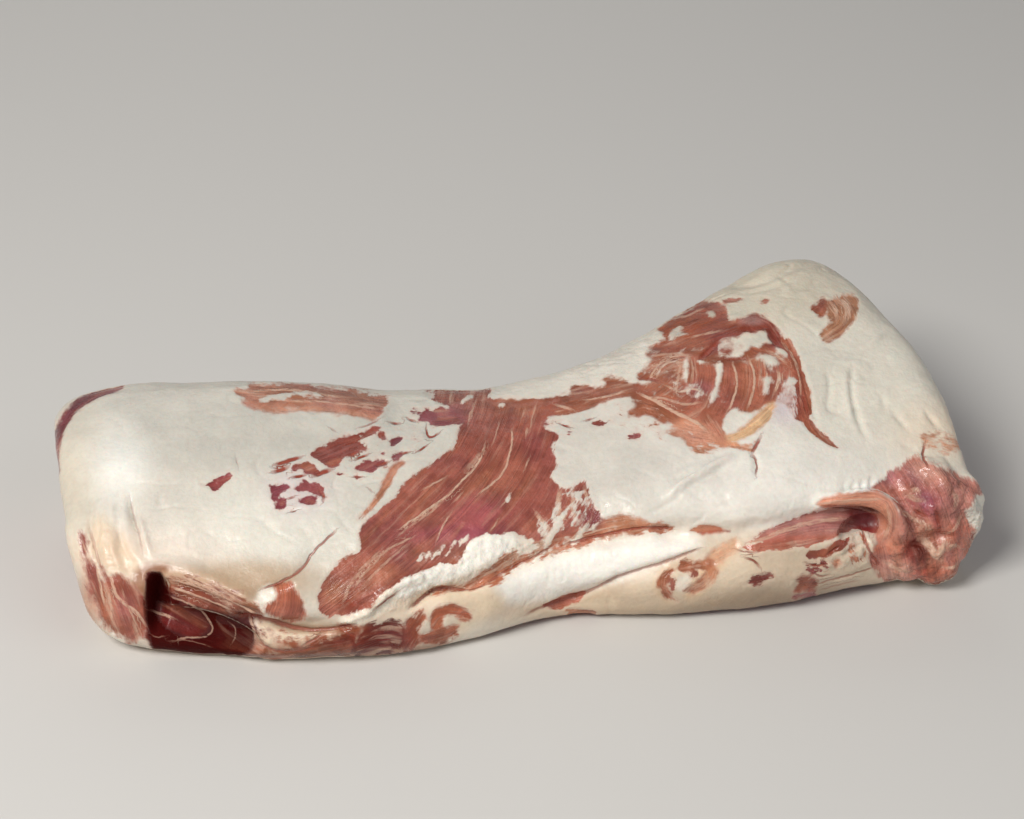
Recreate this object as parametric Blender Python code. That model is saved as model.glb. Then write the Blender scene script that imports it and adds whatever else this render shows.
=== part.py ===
"""A whole boneless pork neck: one trimmed block of muscle and fat, lying fat side up on its flat underside.

Metres, +Z up. X runs along the neck, from the narrow head end on the left to the wide shoulder end on
the right, and Y runs from its front flank to its back. Sizes and places below are in the block's own
frame; the finished solid is then centred on the origin and stands on Z = 0.
"""

import math

import bmesh
import bpy
import numpy as np
from mathutils import Vector, noise

# The mesh: rings along the neck and points round each ring, closer where the form is finer
RINGS = 86
AROUND = 54
FRONT_SHARE, TOP_SHARE, BACK_SHARE, BELLY_SHARE = 1.5, 1.1, 0.9, 0.5
OUTLINE_STEPS = 4001  # fine steps from which evenly spaced points on an outline are read

# The long form. Each row is one cross-section: its place along X, where its middle lies in Y, its half
# width, its height, and how far its upper face falls towards the front, as a share of the height.
STATIONS = (
    # along, middle, half_width, height, fall
    (-0.190, -0.128, 0.063, 0.077, 0.34),
    (-0.170, -0.127, 0.065, 0.078, 0.34),
    (-0.130, -0.127, 0.066, 0.078, 0.36),
    (-0.080, -0.128, 0.066, 0.078, 0.36),
    (-0.030, -0.123, 0.058, 0.075, 0.34),
    (0.000, -0.115, 0.052, 0.073, 0.32),
    (0.050, -0.107, 0.059, 0.081, 0.32),
    (0.090, -0.093, 0.069, 0.090, 0.34),
    (0.125, -0.072, 0.079, 0.097, 0.36),
    (0.170, -0.055, 0.094, 0.101, 0.38),
)
HEAD_END = -0.194
SHOULDER_END = 0.172

# The ends are cut askew: the angle of each cut from square, seen from above
HEAD_CUT = math.radians(12)
SHOULDER_CUT = math.radians(20)
HEAD_LEAN = 0.016  # the head end's face overhangs its foot by this much
HEAD_LEAN_REACH = 0.4  # and the overhang fades over this share of the half length
PLAN_ASPECT = 0.3  # the neck's half width over its half length
HEAD_ROUNDING = 8.0
SHOULDER_ROUNDING = 9.0

# The cross-section is a superellipse: higher powers are squarer
TOP_POWER = 2.5
BELLY_POWER = 5.0
SINK = 0.004  # the belly is pressed flat by this much where it rests
RELIEF_START = 0.008  # relief fades in over this height, so that the resting face stays flat

# Grooves where one muscle or fold meets the next: path on the surface, half width, depth
CREASES = {
    "under the fat cap": (
        ((-0.034, -0.184, 0.030), (-0.008, -0.174, 0.033), (0.024, -0.158, 0.038), (0.066, -0.157, 0.042)),
        0.0035,
        0.0050,
    ),
    "fold over the shoulder strip": (
        ((0.066, -0.157, 0.042), (0.092, -0.157, 0.042), (0.122, -0.150, 0.044), (0.152, -0.140, 0.045)),
        0.0045,
        0.0065,
    ),
    "between the front rolls": (
        ((0.022, -0.164, 0.012), (0.036, -0.163, 0.020), (0.064, -0.163, 0.030), (0.094, -0.159, 0.036)),
        0.0030,
        0.0030,
    ),
    "under the front lobe": (
        ((-0.138, -0.188, 0.035), (-0.109, -0.191, 0.023), (-0.086, -0.192, 0.020), (-0.034, -0.184, 0.030)),
        0.0035,
        0.0040,
    ),
    "knife line over the lobe": (
        ((-0.102, -0.188, 0.034), (-0.083, -0.180, 0.044), (-0.071, -0.168, 0.051)),
        0.0022,
        0.0022,
    ),
    "behind the streaked muscle": (
        ((-0.060, -0.078, 0.066), (-0.054, -0.092, 0.070), (-0.044, -0.108, 0.068)),
        0.0110,
        0.0020,
    ),
    "down the back of the neck": (
        ((-0.120, -0.060, 0.040), (-0.050, -0.062, 0.046), (0.020, -0.052, 0.044), (0.085, -0.012, 0.050)),
        0.0060,
        0.0045,
    ),
    "seam low on the back": (
        ((-0.020, -0.066, 0.020), (0.040, -0.050, 0.024), (0.100, 0.004, 0.022), (0.128, 0.030, 0.030)),
        0.0050,
        0.0035,
    ),
    "corner fold, left": (
        ((-0.172, -0.150, 0.054), (-0.168, -0.174, 0.040), (-0.164, -0.184, 0.024)),
        0.0022,
        0.0016,
    ),
    "corner fold, right": (
        ((-0.156, -0.160, 0.054), (-0.153, -0.176, 0.043), (-0.150, -0.187, 0.028)),
        0.0025,
        0.0022,
    ),
    "seam across the head end": (
        ((-0.196, -0.150, 0.050), (-0.196, -0.120, 0.036), (-0.200, -0.090, 0.046)),
        0.0045,
        0.0022,
    ),
    "seam across the shoulder end": (
        ((0.190, -0.110, 0.030), (0.176, -0.070, 0.050), (0.164, -0.035, 0.036), (0.150, 0.000, 0.052)),
        0.0050,
        0.0026,
    ),
}

# Raised folds and muscles: path on the surface, half width, rise
ROLLS = {
    "edge of the fat cap": (
        ((0.000, -0.160, 0.052), (0.040, -0.150, 0.056), (0.090, -0.146, 0.058), (0.138, -0.130, 0.060)),
        0.0120,
        0.0030,
    ),
    "lower front roll": (
        ((-0.010, -0.178, 0.020), (0.030, -0.162, 0.024), (0.080, -0.162, 0.022), (0.130, -0.150, 0.022)),
        0.0085,
        0.0022,
    ),
    "front lobe": (((-0.100, -0.189, 0.032), (-0.085, -0.186, 0.036)), 0.0080, 0.0028),
    "roll under the lobe": (((-0.105, -0.192, 0.012), (-0.060, -0.192, 0.012)), 0.0080, 0.0020),
    "head corner": (((-0.168, -0.176, 0.020), (-0.176, -0.160, 0.040)), 0.0120, 0.0030),
    "central muscle": (((-0.060, -0.165, 0.055), (-0.020, -0.125, 0.070)), 0.0160, 0.0020),
    "shoulder muscle": (((0.060, -0.090, 0.078), (0.100, -0.070, 0.088)), 0.0220, 0.0022),
    "shoulder rim": (
        ((0.120, 0.000, 0.086), (0.150, -0.050, 0.090), (0.172, -0.100, 0.070)),
        0.0140,
        0.0008,
    ),
    "back muscle": (((-0.100, -0.058, 0.056), (-0.030, -0.062, 0.058)), 0.0140, 0.0030),
    "shoulder back muscle": (((0.060, -0.030, 0.060), (0.110, 0.010, 0.060)), 0.0160, 0.0030),
    "head eye muscle": (((-0.198, -0.136, 0.030), (-0.198, -0.130, 0.032)), 0.0150, 0.0025),
    "shoulder eye muscle": (((0.180, -0.085, 0.060), (0.172, -0.060, 0.066)), 0.0180, 0.0030),
}

# Loose unevenness all over: two sizes of lump and how far each stands
LUMPS = ((0.036, 0.0016), (0.013, 0.0006))

# Hollows left by the bones and by pulled-back flaps: middle, half axes, and tilt about Y
HOLLOWS = {
    "slot in the head corner": ((-0.142, -0.189, 0.029), (0.0050, 0.0150, 0.0150), math.radians(4)),
    "pocket behind the slot": ((-0.125, -0.194, 0.019), (0.0270, 0.0120, 0.0085), math.radians(18)),
    "under the curled lip": ((0.146, -0.149, 0.036), (0.0120, 0.0120, 0.0060), math.radians(-6)),
}

# The torn flap at the foot of the shoulder end: middle, half axes, crag height
FLAP = {
    "main lump": ((0.174, -0.126, 0.030), (0.0225, 0.0180, 0.0270), 0.0045),
    "upper lobe": ((0.170, -0.118, 0.044), (0.0170, 0.0140, 0.0110), 0.0025),
    "lower lobe": ((0.165, -0.139, 0.017), (0.0120, 0.0080, 0.0110), 0.0020),
    "hanging tip": ((0.178, -0.136, 0.013), (0.0110, 0.0090, 0.0110), 0.0025),
    "outer tip": ((0.189, -0.127, 0.038), (0.0085, 0.0080, 0.0110), 0.0020),
}
FLAP_CRAG = 0.012  # distance between its crags
FLAP_CLEARANCE = 0.0008  # it hangs just clear of what the neck lies on

# The lip of membrane curled over the hollow: its path and thickness
LIP_PATH = (
    (0.124, -0.143, 0.047),
    (0.138, -0.143, 0.050),
    (0.150, -0.142, 0.049),
    (0.158, -0.144, 0.043),
    (0.161, -0.146, 0.033),
    (0.159, -0.145, 0.022),
)
LIP_RADIUS = 0.0046
LIP_END_SHARE = 0.6  # thickness at its ends, as a share of the middle's
LIP_SIDES = 10

FAT = (0.80, 0.66, 0.56, 1.0)
FAT_ROUGHNESS = 0.42


def signed_power(values, power):
    return np.sign(values) * np.abs(values) ** power


def along_stations(column, places):
    """One column of STATIONS read at any place along the neck, on a smooth curve through the rows."""
    table = np.array(STATIONS)
    knots, values = table[:, 0], table[:, column]
    slopes = np.gradient(values, knots)
    places = np.clip(places, knots[0], knots[-1])
    row = np.clip(np.searchsorted(knots, places, side="right") - 1, 0, len(knots) - 2)
    span = knots[row + 1] - knots[row]
    part = (places - knots[row]) / span
    rise = values[row + 1] - values[row]
    start, end = slopes[row] * span, slopes[row + 1] * span
    return (
        values[row]
        + part * start
        + part**2 * (3 * rise - 2 * start - end)
        + part**3 * (start + end - 2 * rise)
    )


def long_profile(share):
    """(place from -1 to 1, reach from 0 to 1) of each ring, evenly spaced along the outline of a block with
    rounded ends. share runs from 0 at the head end's middle to 1 at the shoulder end's."""
    turn = np.linspace(0, math.pi, OUTLINE_STEPS)
    power = np.where(turn < math.pi / 2, HEAD_ROUNDING, SHOULDER_ROUNDING)
    place = signed_power(-np.cos(turn), 2 / power)
    reach = signed_power(np.sin(turn), 2 / power)
    step = np.hypot(np.diff(place), PLAN_ASPECT * np.diff(reach))
    run = np.concatenate([[0], np.cumsum(step)]) / step.sum()
    return np.interp(share, run, place), np.interp(share, run, reach)


def ring_profile(share):
    """(across, up), each from -1 to 1, of the points round a ring: share runs once round from the back,
    over the top to the front and back underneath."""
    turn = np.linspace(0, 2 * math.pi, OUTLINE_STEPS)
    power = np.where(np.sin(turn) > 0, TOP_POWER, BELLY_POWER)
    across = signed_power(np.cos(turn), 2 / power)
    up = signed_power(np.sin(turn), 2 / power)
    middle = (turn[1:] + turn[:-1]) / 2
    facing = np.stack([np.cos(middle), np.sin(middle)])
    closeness = (
        BACK_SHARE * np.clip(facing[0], 0, 1) ** 2
        + FRONT_SHARE * np.clip(-facing[0], 0, 1) ** 2
        + TOP_SHARE * np.clip(facing[1], 0, 1) ** 2
        + BELLY_SHARE * np.clip(-facing[1], 0, 1) ** 2
    )
    step = np.hypot(np.diff(across), np.diff(up)) * closeness
    run = np.concatenate([[0], np.cumsum(step)]) / step.sum()
    return np.interp(share, run, across), np.interp(share, run, up)


def block_points(share, turn_share):
    """The block's surface: share along it from end to end, turn_share round it."""
    place, reach = long_profile(share)
    across, up = ring_profile(turn_share)
    middle = (HEAD_END + SHOULDER_END) / 2
    half = (SHOULDER_END - HEAD_END) / 2
    spine = middle + half * place
    centre = along_stations(1, spine)
    width = along_stations(2, spine) * reach
    height = along_stations(3, spine)
    fall = along_stations(4, spine)
    cut = HEAD_CUT + (SHOULDER_CUT - HEAD_CUT) * (place + 1) / 2
    level = (0.5 + 0.5 * up * reach) * (1 - fall * (1 - across * reach) / 2)
    lean = HEAD_LEAN * np.clip(1 - (place + 1) / HEAD_LEAN_REACH, 0, 1)
    return np.stack(
        [
            spine - np.sin(cut) * across * width + lean * (1 - level),
            centre + np.cos(cut) * across * width,
            level * (height + SINK) - SINK,
        ],
        axis=1,
    )


def distance_to_path(points, path):
    """How far each point lies from the nearest straight run of the path."""
    corners = np.array(path)
    nearest = np.full(len(points), np.inf)
    for start, end in zip(corners[:-1], corners[1:]):
        run = end - start
        part = np.clip((points - start) @ run / (run @ run), 0, 1)
        gap = np.linalg.norm(points - start - part[:, None] * run, axis=1)
        nearest = np.minimum(nearest, gap)
    return nearest


def bumps(points, size):
    """Smooth noise from -1 to 1 whose lumps are about size apart."""
    return np.array([noise.noise(Vector(point) / size) for point in points])


def relief(points):
    """How far each point moves out along its normal."""
    rise = np.zeros(len(points))
    for path, width, height in ROLLS.values():
        rise += height * np.exp(-((distance_to_path(points, path) / width) ** 2))
    for path, width, depth in CREASES.values():
        rise -= depth * np.exp(-((distance_to_path(points, path) / width) ** 2))
    for size, height in LUMPS:
        rise += height * bumps(points, size)
    return rise


def read_points(piece):
    flat = np.empty(len(piece.data.vertices) * 3, np.float32)
    piece.data.vertices.foreach_get("co", flat)
    return flat.reshape(-1, 3).astype(float)


def write_points(piece, points):
    piece.data.vertices.foreach_set("co", points.astype(np.float32).ravel())
    piece.data.update()


def normals_of(piece):
    flat = np.empty(len(piece.data.vertices) * 3, np.float32)
    piece.data.vertices.foreach_get("normal", flat)
    return flat.reshape(-1, 3).astype(float)


def neck_block():
    """A ball of rings drawn out along the neck, given its folds and pressed flat where it rests."""
    bpy.ops.mesh.primitive_uv_sphere_add(segments=AROUND, ring_count=RINGS, radius=1)
    neck = bpy.context.object
    neck.name = neck.data.name = "pork_neck"
    ball = read_points(neck)
    share = np.arccos(np.clip(-ball[:, 2], -1, 1)) / math.pi
    turn_share = np.arctan2(ball[:, 1], ball[:, 0]) / (2 * math.pi) % 1
    points = block_points(share, turn_share)
    write_points(neck, points)
    above = np.clip(points[:, 2] / RELIEF_START, 0, 1)
    points += normals_of(neck) * (relief(points) * above)[:, None]
    points[:, 2] = np.maximum(points[:, 2], 0)
    write_points(neck, points)
    return neck


def blob(name, middle, half_axes, tilt, fineness):
    """A ball stretched to its half axes and tilted about Y."""
    bpy.ops.mesh.primitive_ico_sphere_add(subdivisions=fineness, radius=1)
    piece = bpy.context.object
    piece.name = name
    points = read_points(piece) * np.array(half_axes)
    x = points[:, 0] * math.cos(tilt) + points[:, 2] * math.sin(tilt)
    z = points[:, 2] * math.cos(tilt) - points[:, 0] * math.sin(tilt)
    write_points(piece, np.stack([x, points[:, 1], z], axis=1) + np.array(middle))
    return piece


def torn_lump(name, middle, half_axes, crag, fineness):
    """A blob whose surface is torn into crags."""
    piece = blob(name, middle, half_axes, 0.0, fineness)
    points = read_points(piece)
    ridges = 1 - 2 * np.abs(bumps(points, FLAP_CRAG))
    points += normals_of(piece) * (crag * (ridges - 0.5))[:, None]
    points[:, 2] = np.maximum(points[:, 2], FLAP_CLEARANCE)
    write_points(piece, points)
    return piece


def curled_lip():
    """A closed tube along the lip's path, thin at both ends."""
    curve = bpy.data.curves.new("lip", "CURVE")
    curve.dimensions = "3D"
    curve.bevel_depth = LIP_RADIUS
    curve.bevel_resolution = LIP_SIDES // 2 - 2
    curve.resolution_u = 4
    curve.use_fill_caps = True
    spline = curve.splines.new("NURBS")
    spline.points.add(len(LIP_PATH) - 1)
    for place, point in enumerate(LIP_PATH):
        spline.points[place].co = (*point, 1)
        swell = math.sin(math.pi * (place + 0.5) / len(LIP_PATH))
        spline.points[place].radius = LIP_END_SHARE + (1 - LIP_END_SHARE) * swell
    spline.use_endpoint_u = True
    spline.order_u = 3
    lip = bpy.data.objects.new("lip", curve)
    bpy.context.collection.objects.link(lip)
    bpy.ops.object.select_all(action="DESELECT")
    lip.select_set(True)
    bpy.context.view_layer.objects.active = lip
    bpy.ops.object.convert(target="MESH")
    shape = bmesh.new()
    shape.from_mesh(lip.data)
    bmesh.ops.remove_doubles(shape, verts=shape.verts, dist=1e-5)
    bmesh.ops.recalc_face_normals(shape, faces=shape.faces)
    shape.to_mesh(lip.data)
    shape.free()
    return lip


def combine(neck, pieces, operation):
    """Joins the pieces to the neck or cuts them from it, and removes them."""
    group = bpy.data.collections.new(operation.lower())
    for piece in pieces:
        for holder in list(piece.users_collection):
            holder.objects.unlink(piece)
        group.objects.link(piece)
    bpy.context.scene.collection.children.link(group)
    boolean = neck.modifiers.new(operation.lower(), "BOOLEAN")
    boolean.operation = operation
    boolean.operand_type = "COLLECTION"
    boolean.collection = group
    boolean.solver = "EXACT"
    boolean.use_self = True
    bpy.context.view_layer.objects.active = neck
    bpy.ops.object.modifier_apply(modifier=boolean.name)
    for piece in pieces:
        bpy.data.objects.remove(piece)
    bpy.data.collections.remove(group)


def fat_material():
    """Pale, slightly pink fat, damp on its surface."""
    fat = bpy.data.materials.new("fat")
    fat.use_nodes = True
    finish = fat.node_tree.nodes["Principled BSDF"]
    finish.inputs["Base Color"].default_value = FAT
    finish.inputs["Roughness"].default_value = FAT_ROUGHNESS
    finish.inputs["Metallic"].default_value = 0.0
    return fat


def clear_scene():
    for old in list(bpy.data.objects):
        bpy.data.objects.remove(old)


def centre_on_floor(neck):
    """Puts the middle of the block's box on the origin in X and Y, and its lowest point on Z = 0."""
    points = read_points(neck)
    low, high = points.min(axis=0), points.max(axis=0)
    shift = -(low + high) / 2
    shift[2] = -low[2]
    write_points(neck, points + shift)


clear_scene()
neck = neck_block()
combine(neck, [blob(name, *hollow, 3) for name, hollow in HOLLOWS.items()], "DIFFERENCE")
flap = [torn_lump(name, *lump, 4 if name == "main lump" else 3) for name, lump in FLAP.items()]
combine(neck, [*flap, curled_lip()], "UNION")
centre_on_floor(neck)
neck.data.materials.append(fat_material())
neck.data.shade_smooth()
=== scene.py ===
import math
import bpy
import numpy as np
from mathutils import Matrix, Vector, noise


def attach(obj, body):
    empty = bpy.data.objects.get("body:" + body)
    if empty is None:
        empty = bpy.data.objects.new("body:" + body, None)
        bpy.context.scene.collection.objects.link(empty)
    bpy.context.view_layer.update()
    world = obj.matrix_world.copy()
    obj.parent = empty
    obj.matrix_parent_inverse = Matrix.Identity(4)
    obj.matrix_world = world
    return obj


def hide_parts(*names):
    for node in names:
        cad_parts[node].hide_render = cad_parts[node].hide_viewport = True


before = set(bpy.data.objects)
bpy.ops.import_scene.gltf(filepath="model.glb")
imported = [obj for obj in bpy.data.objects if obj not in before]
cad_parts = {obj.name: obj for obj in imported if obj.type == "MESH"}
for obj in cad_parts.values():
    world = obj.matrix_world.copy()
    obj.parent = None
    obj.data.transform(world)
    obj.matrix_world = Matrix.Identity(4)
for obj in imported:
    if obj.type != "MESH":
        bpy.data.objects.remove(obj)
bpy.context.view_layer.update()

shot = {
    "elevation": math.radians(33.0),  # how far the camera looks down
    "distance": 1.14,
    "target": (-0.0015, 0.0870, 0.0),
    "lens": 85.0,
    "sensor": 36.0,
    "width": 1024,
    "height": 819,
    "mmPerPixel": 0.46,  # on the meat, at the camera's distance
}


def deselectAll():
    for item in bpy.context.selected_objects:
        item.select_set(False)


def makeActive(piece):
    deselectAll()
    piece.select_set(True)
    bpy.context.view_layer.objects.active = piece


def applyModifier(piece, kind, **settings):
    makeActive(piece)
    modifier = piece.modifiers.new(kind.lower(), kind)
    for name, value in settings.items():
        setattr(modifier, name, value)
    bpy.ops.object.modifier_apply(modifier=modifier.name)


def tone(red, green, blue):
    shares = []
    for value in (red, green, blue):
        share = value / 255.0
        shares.append(share / 12.92 if share <= 0.04045 else ((share + 0.055) / 1.055) ** 2.4)
    return np.array(shares)


def smoothStep(low, high, values):
    share = np.clip((values - low) / (high - low), 0.0, 1.0)
    return share * share * (3.0 - 2.0 * share)


# Camera, light and floor.

def cameraPlace():
    target = np.array(shot["target"])
    back = np.array((0.0, -math.cos(shot["elevation"]), math.sin(shot["elevation"])))
    return target + shot["distance"] * back


def addCamera():
    bpy.ops.object.camera_add(location=cameraPlace())
    camera = bpy.context.object
    camera.name = "camera"
    camera.rotation_euler = (math.radians(90.0) - shot["elevation"], 0.0, 0.0)
    camera.data.lens = shot["lens"]
    camera.data.sensor_width = shot["sensor"]
    camera.data.clip_start = 0.01
    bpy.context.scene.camera = camera


lamps = {
    "key": {"place": (-0.78, -0.90, 1.32), "size": 0.7, "power": 29.0, "colour": (1.0, 0.985, 0.955)},
    "fill": {"place": (1.05, -0.75, 0.75), "size": 1.2, "power": 4.0, "colour": (0.96, 0.98, 1.0)},
    "back": {"place": (-0.2, 1.1, 0.8), "size": 0.9, "power": 2.0, "colour": (1.0, 0.99, 0.97)},
}
studio = {
    "aim": (0.0, 0.0, 0.03),
    "worldColour": (0.93, 0.95, 1.0, 1.0),
    "worldStrength": 0.17,
    "floorSize": 14.0,
    "floorLevel": -0.0003,  # just under the meat, so that the two don't share a plane
    "floorColour": (0.62, 0.60, 0.57, 1.0),
    "floorRoughness": 0.75,
}


def addLamps():
    for name, lamp in lamps.items():
        bpy.ops.object.light_add(type="AREA", location=lamp["place"])
        light = bpy.context.object
        light.name = name
        light.data.shape = "SQUARE"
        light.data.size = lamp["size"]
        light.data.energy = lamp["power"]
        light.data.color = lamp["colour"]
        aim = Vector(studio["aim"]) - Vector(lamp["place"])
        light.rotation_euler = aim.to_track_quat("-Z", "Y").to_euler()
    world = bpy.data.worlds.new("studio")
    world.use_nodes = True
    background = world.node_tree.nodes["Background"]
    background.inputs["Color"].default_value = studio["worldColour"]
    background.inputs["Strength"].default_value = studio["worldStrength"]
    bpy.context.scene.world = world
    bpy.context.scene.view_settings.view_transform = "Standard"


def addFloor():
    deselectAll()
    bpy.ops.mesh.primitive_plane_add(size=studio["floorSize"], location=(0.0, 0.0, studio["floorLevel"]))
    floor = bpy.context.object
    floor.name = "floor"
    finish = bpy.data.materials.new("paleFloor")
    finish.use_nodes = True
    surface = finish.node_tree.nodes["Principled BSDF"]
    surface.inputs["Base Color"].default_value = studio["floorColour"]
    surface.inputs["Roughness"].default_value = studio["floorRoughness"]
    floor.data.materials.append(finish)


addCamera()
addLamps()
addFloor()
print("camera, lamps and floor set")


# The meat's form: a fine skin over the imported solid.

meatForm = {
    "weld": 0.00002,
    "voxel": 0.00104,  # spacing of the fine mesh
    "smoothing": 22,
    "triangles": 196000,  # the hidden sides are thinned until no more are left
    "leanSink": 0.00045,  # how far lean lies under the fat
    "fatRoll": 0.25,  # share of that sink by which the fat rises beside the lean
    "cutDepth": 0.0005,
    "foldRise": 1.5,  # folds stand this much taller than their table says
    "nodule": 0.0022,
    "noduleScale": 150.0,
    "crease": 0.00045,
    "creaseScale": (34.0, 58.0, 58.0),
    "swell": 0.0008,  # slow unevenness of the fat
    "swellScale": 46.0,
    "grainSwell": 0.00022,
    "grainScale": 150.0,
    "groundTouch": 0.0004,  # points lower than this stay on the floor
}


def copyOfNode(name, pieceName):
    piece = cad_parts[name].copy()
    piece.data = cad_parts[name].data.copy()
    piece.name = pieceName
    piece.data.name = pieceName
    bpy.context.collection.objects.link(piece)
    piece.parent = None
    piece.matrix_world.identity()
    makeActive(piece)
    bpy.ops.object.mode_set(mode="EDIT")
    bpy.ops.mesh.select_all(action="SELECT")
    bpy.ops.mesh.remove_doubles(threshold=meatForm["weld"])
    bpy.ops.object.mode_set(mode="OBJECT")
    piece.data.materials.clear()
    return piece


def pointsOf(piece):
    places = np.empty(len(piece.data.vertices) * 3)
    piece.data.vertices.foreach_get("co", places)
    return places.reshape(-1, 3)


def setPoints(piece, places):
    piece.data.vertices.foreach_set("co", places.reshape(-1))
    piece.data.update()


def normalsOf(piece):
    normals = np.empty(len(piece.data.vertices) * 3)
    piece.data.vertex_normals.foreach_get("vector", normals)
    return normals.reshape(-1, 3)


def fineSkin():
    piece = copyOfNode("pork_neck", "neckMeat")
    applyModifier(piece, "REMESH", mode="VOXEL", voxel_size=meatForm["voxel"], use_smooth_shade=True)
    applyModifier(piece, "SMOOTH", factor=0.5, iterations=meatForm["smoothing"])
    places = pointsOf(piece)
    places[:, 2] = np.maximum(places[:, 2], 0.0)
    setPoints(piece, places)
    thinHiddenSides(piece)
    return piece


def thinHiddenSides(piece):
    places = pointsOf(piece)
    toCamera = cameraPlace() - places
    toCamera /= np.linalg.norm(toCamera, axis=1)[:, None]
    hidden = smoothStep(-0.05, -0.35, (normalsOf(piece) * toCamera).sum(axis=1))
    group = piece.vertex_groups.new(name="hidden")
    for level in range(11):
        group.add(np.nonzero(np.round(hidden * 10.0) == level)[0].tolist(), level / 10.0, "REPLACE")
    faces = sum(len(face.vertices) - 2 for face in piece.data.polygons)
    applyModifier(piece, "DECIMATE", ratio=min(1.0, meatForm["triangles"] / faces), vertex_group="hidden")
    piece.vertex_groups.clear()
    print("fine skin thinned from", faces, "to", len(piece.data.polygons), "faces")


meat = fineSkin()
print("fine skin", len(meat.data.vertices), "points")


# Reading outlines and paths drawn on the meat.

def rounded(corners, closed=True, rounds=1):
    line = np.array(corners, float)
    for _ in range(rounds):
        if closed:
            after = np.roll(line, -1, axis=0)
            line = np.stack([0.75 * line + 0.25 * after, 0.25 * line + 0.75 * after], axis=1).reshape(-1, 2)
        else:
            before, after = line[:-1], line[1:]
            middle = np.stack([0.75 * before + 0.25 * after, 0.25 * before + 0.75 * after], axis=1)
            line = np.vstack([line[:1], middle.reshape(-1, 2)[1:-1], line[-1:]])
    return line


def insideDistance(spots, outline):
    nearest = np.full(len(spots), 1e12)
    inside = np.zeros(len(spots), bool)
    for start, end in zip(outline, np.roll(outline, -1, axis=0)):
        edge = end - start
        share = np.clip(((spots - start) @ edge) / max(edge @ edge, 1e-12), 0.0, 1.0)
        nearest = np.minimum(nearest, ((spots - start - share[:, None] * edge) ** 2).sum(axis=1))
        crosses = (start[1] > spots[:, 1]) != (end[1] > spots[:, 1])
        rise = edge[1] if abs(edge[1]) > 1e-9 else 1e-9
        inside ^= crosses & (spots[:, 0] < start[0] + (spots[:, 1] - start[1]) * edge[0] / rise)
    return np.where(inside, 1.0, -1.0) * np.sqrt(nearest)


def alongPath(spots, path, endless=False):
    nearest = np.full(len(spots), 1e12)
    along = np.zeros(len(spots))
    across = np.zeros(len(spots))
    run = 0.0
    last = len(path) - 2
    for index in range(len(path) - 1):
        edge = path[index + 1] - path[index]
        length = math.hypot(*edge)
        heading = edge / length
        offset = spots - path[index]
        low = -1e9 if endless and index == 0 else 0.0
        high = 1e9 if endless and index == last else length
        travel = np.clip(offset @ heading, low, high)
        gap = ((offset - travel[:, None] * heading) ** 2).sum(axis=1)
        side = np.sign(heading[0] * offset[:, 1] - heading[1] * offset[:, 0])
        closer = gap < nearest
        nearest = np.where(closer, gap, nearest)
        along = np.where(closer, run + travel, along)
        across = np.where(closer, side * np.sqrt(gap), across)
        run += length
    return along, across, run


def nearBox(spots, line, margin):
    low = line.min(axis=0) - margin
    high = line.max(axis=0) + margin
    return np.nonzero(((spots > low) & (spots < high)).all(axis=1))[0]


# The side that shows. Its outlines and paths are in pixels of the camera's picture.

# The lean's tones, from 0 to 255. The shader's fibres and the light change them further.
leanTones = {
    "loin": (158, 88, 73),
    "loinWarm": (176, 104, 82),
    "dusty": (176, 104, 96),
    "tan": (168, 104, 82),
    "streaky": (168, 98, 76),
    "orange": (206, 140, 104),
    "lip": (220, 150, 122),
    # Deep: the cavity's dark red. A patch with this tone also lays painted shade over the cavity.
    "deep": (96, 30, 22),
    "speck": (138, 70, 56),
    "speckPurple": (124, 58, 64),
    "hook": (188, 132, 100),
    "paleTan": (190, 132, 104),
    "lobe": (186, 108, 80),
    "slit": (104, 20, 18),
    "creaseWarm": (182, 112, 82),
    # The cavity wall's dark red, partly painted shade.
    "cavityWall": (98, 34, 20),
    "amberBrown": (172, 102, 68),
    "peach": (222, 168, 130),
    "ham": (158, 96, 74),
    "rim": (118, 62, 66),
    "corner": (154, 86, 70),
    "strandBrown": (150, 98, 70),
    "tongue": (128, 30, 26),
    # The dark red under the overhang, partly painted shade.
    "beltDark": (92, 44, 32),
    "hollow": (176, 34, 34),
    "pit": (150, 34, 34),
    "purple": (140, 66, 66),
    "plum": (158, 84, 84),
    "rust": (162, 94, 68),
    "amber": (232, 190, 146),
    "brown": (152, 88, 62),
    "cut": (128, 60, 50),
    "sheen": (178, 118, 106),
    "flesh": (198, 128, 110),
    "red": (140, 42, 32),
}


# A patch of lean. Its grain is the run of its fibres, and lift, cap and base move its edge and its rank, in
# millimetres. Lit takes the painted shade of the hollow away, and shade adds painted shade.
def leanPatch(toneName, streak, ragged, grain, outline, **more):
    usual = {"soft": 0.35, "cap": 12.0, "base": 0.0, "lift": 0.0, "lit": 0.0, "shade": 0.0}
    given = {"tone": toneName, "streak": streak, "ragged": ragged, "grain": grain, "outline": outline}
    return {**usual, **given, **more}


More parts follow.
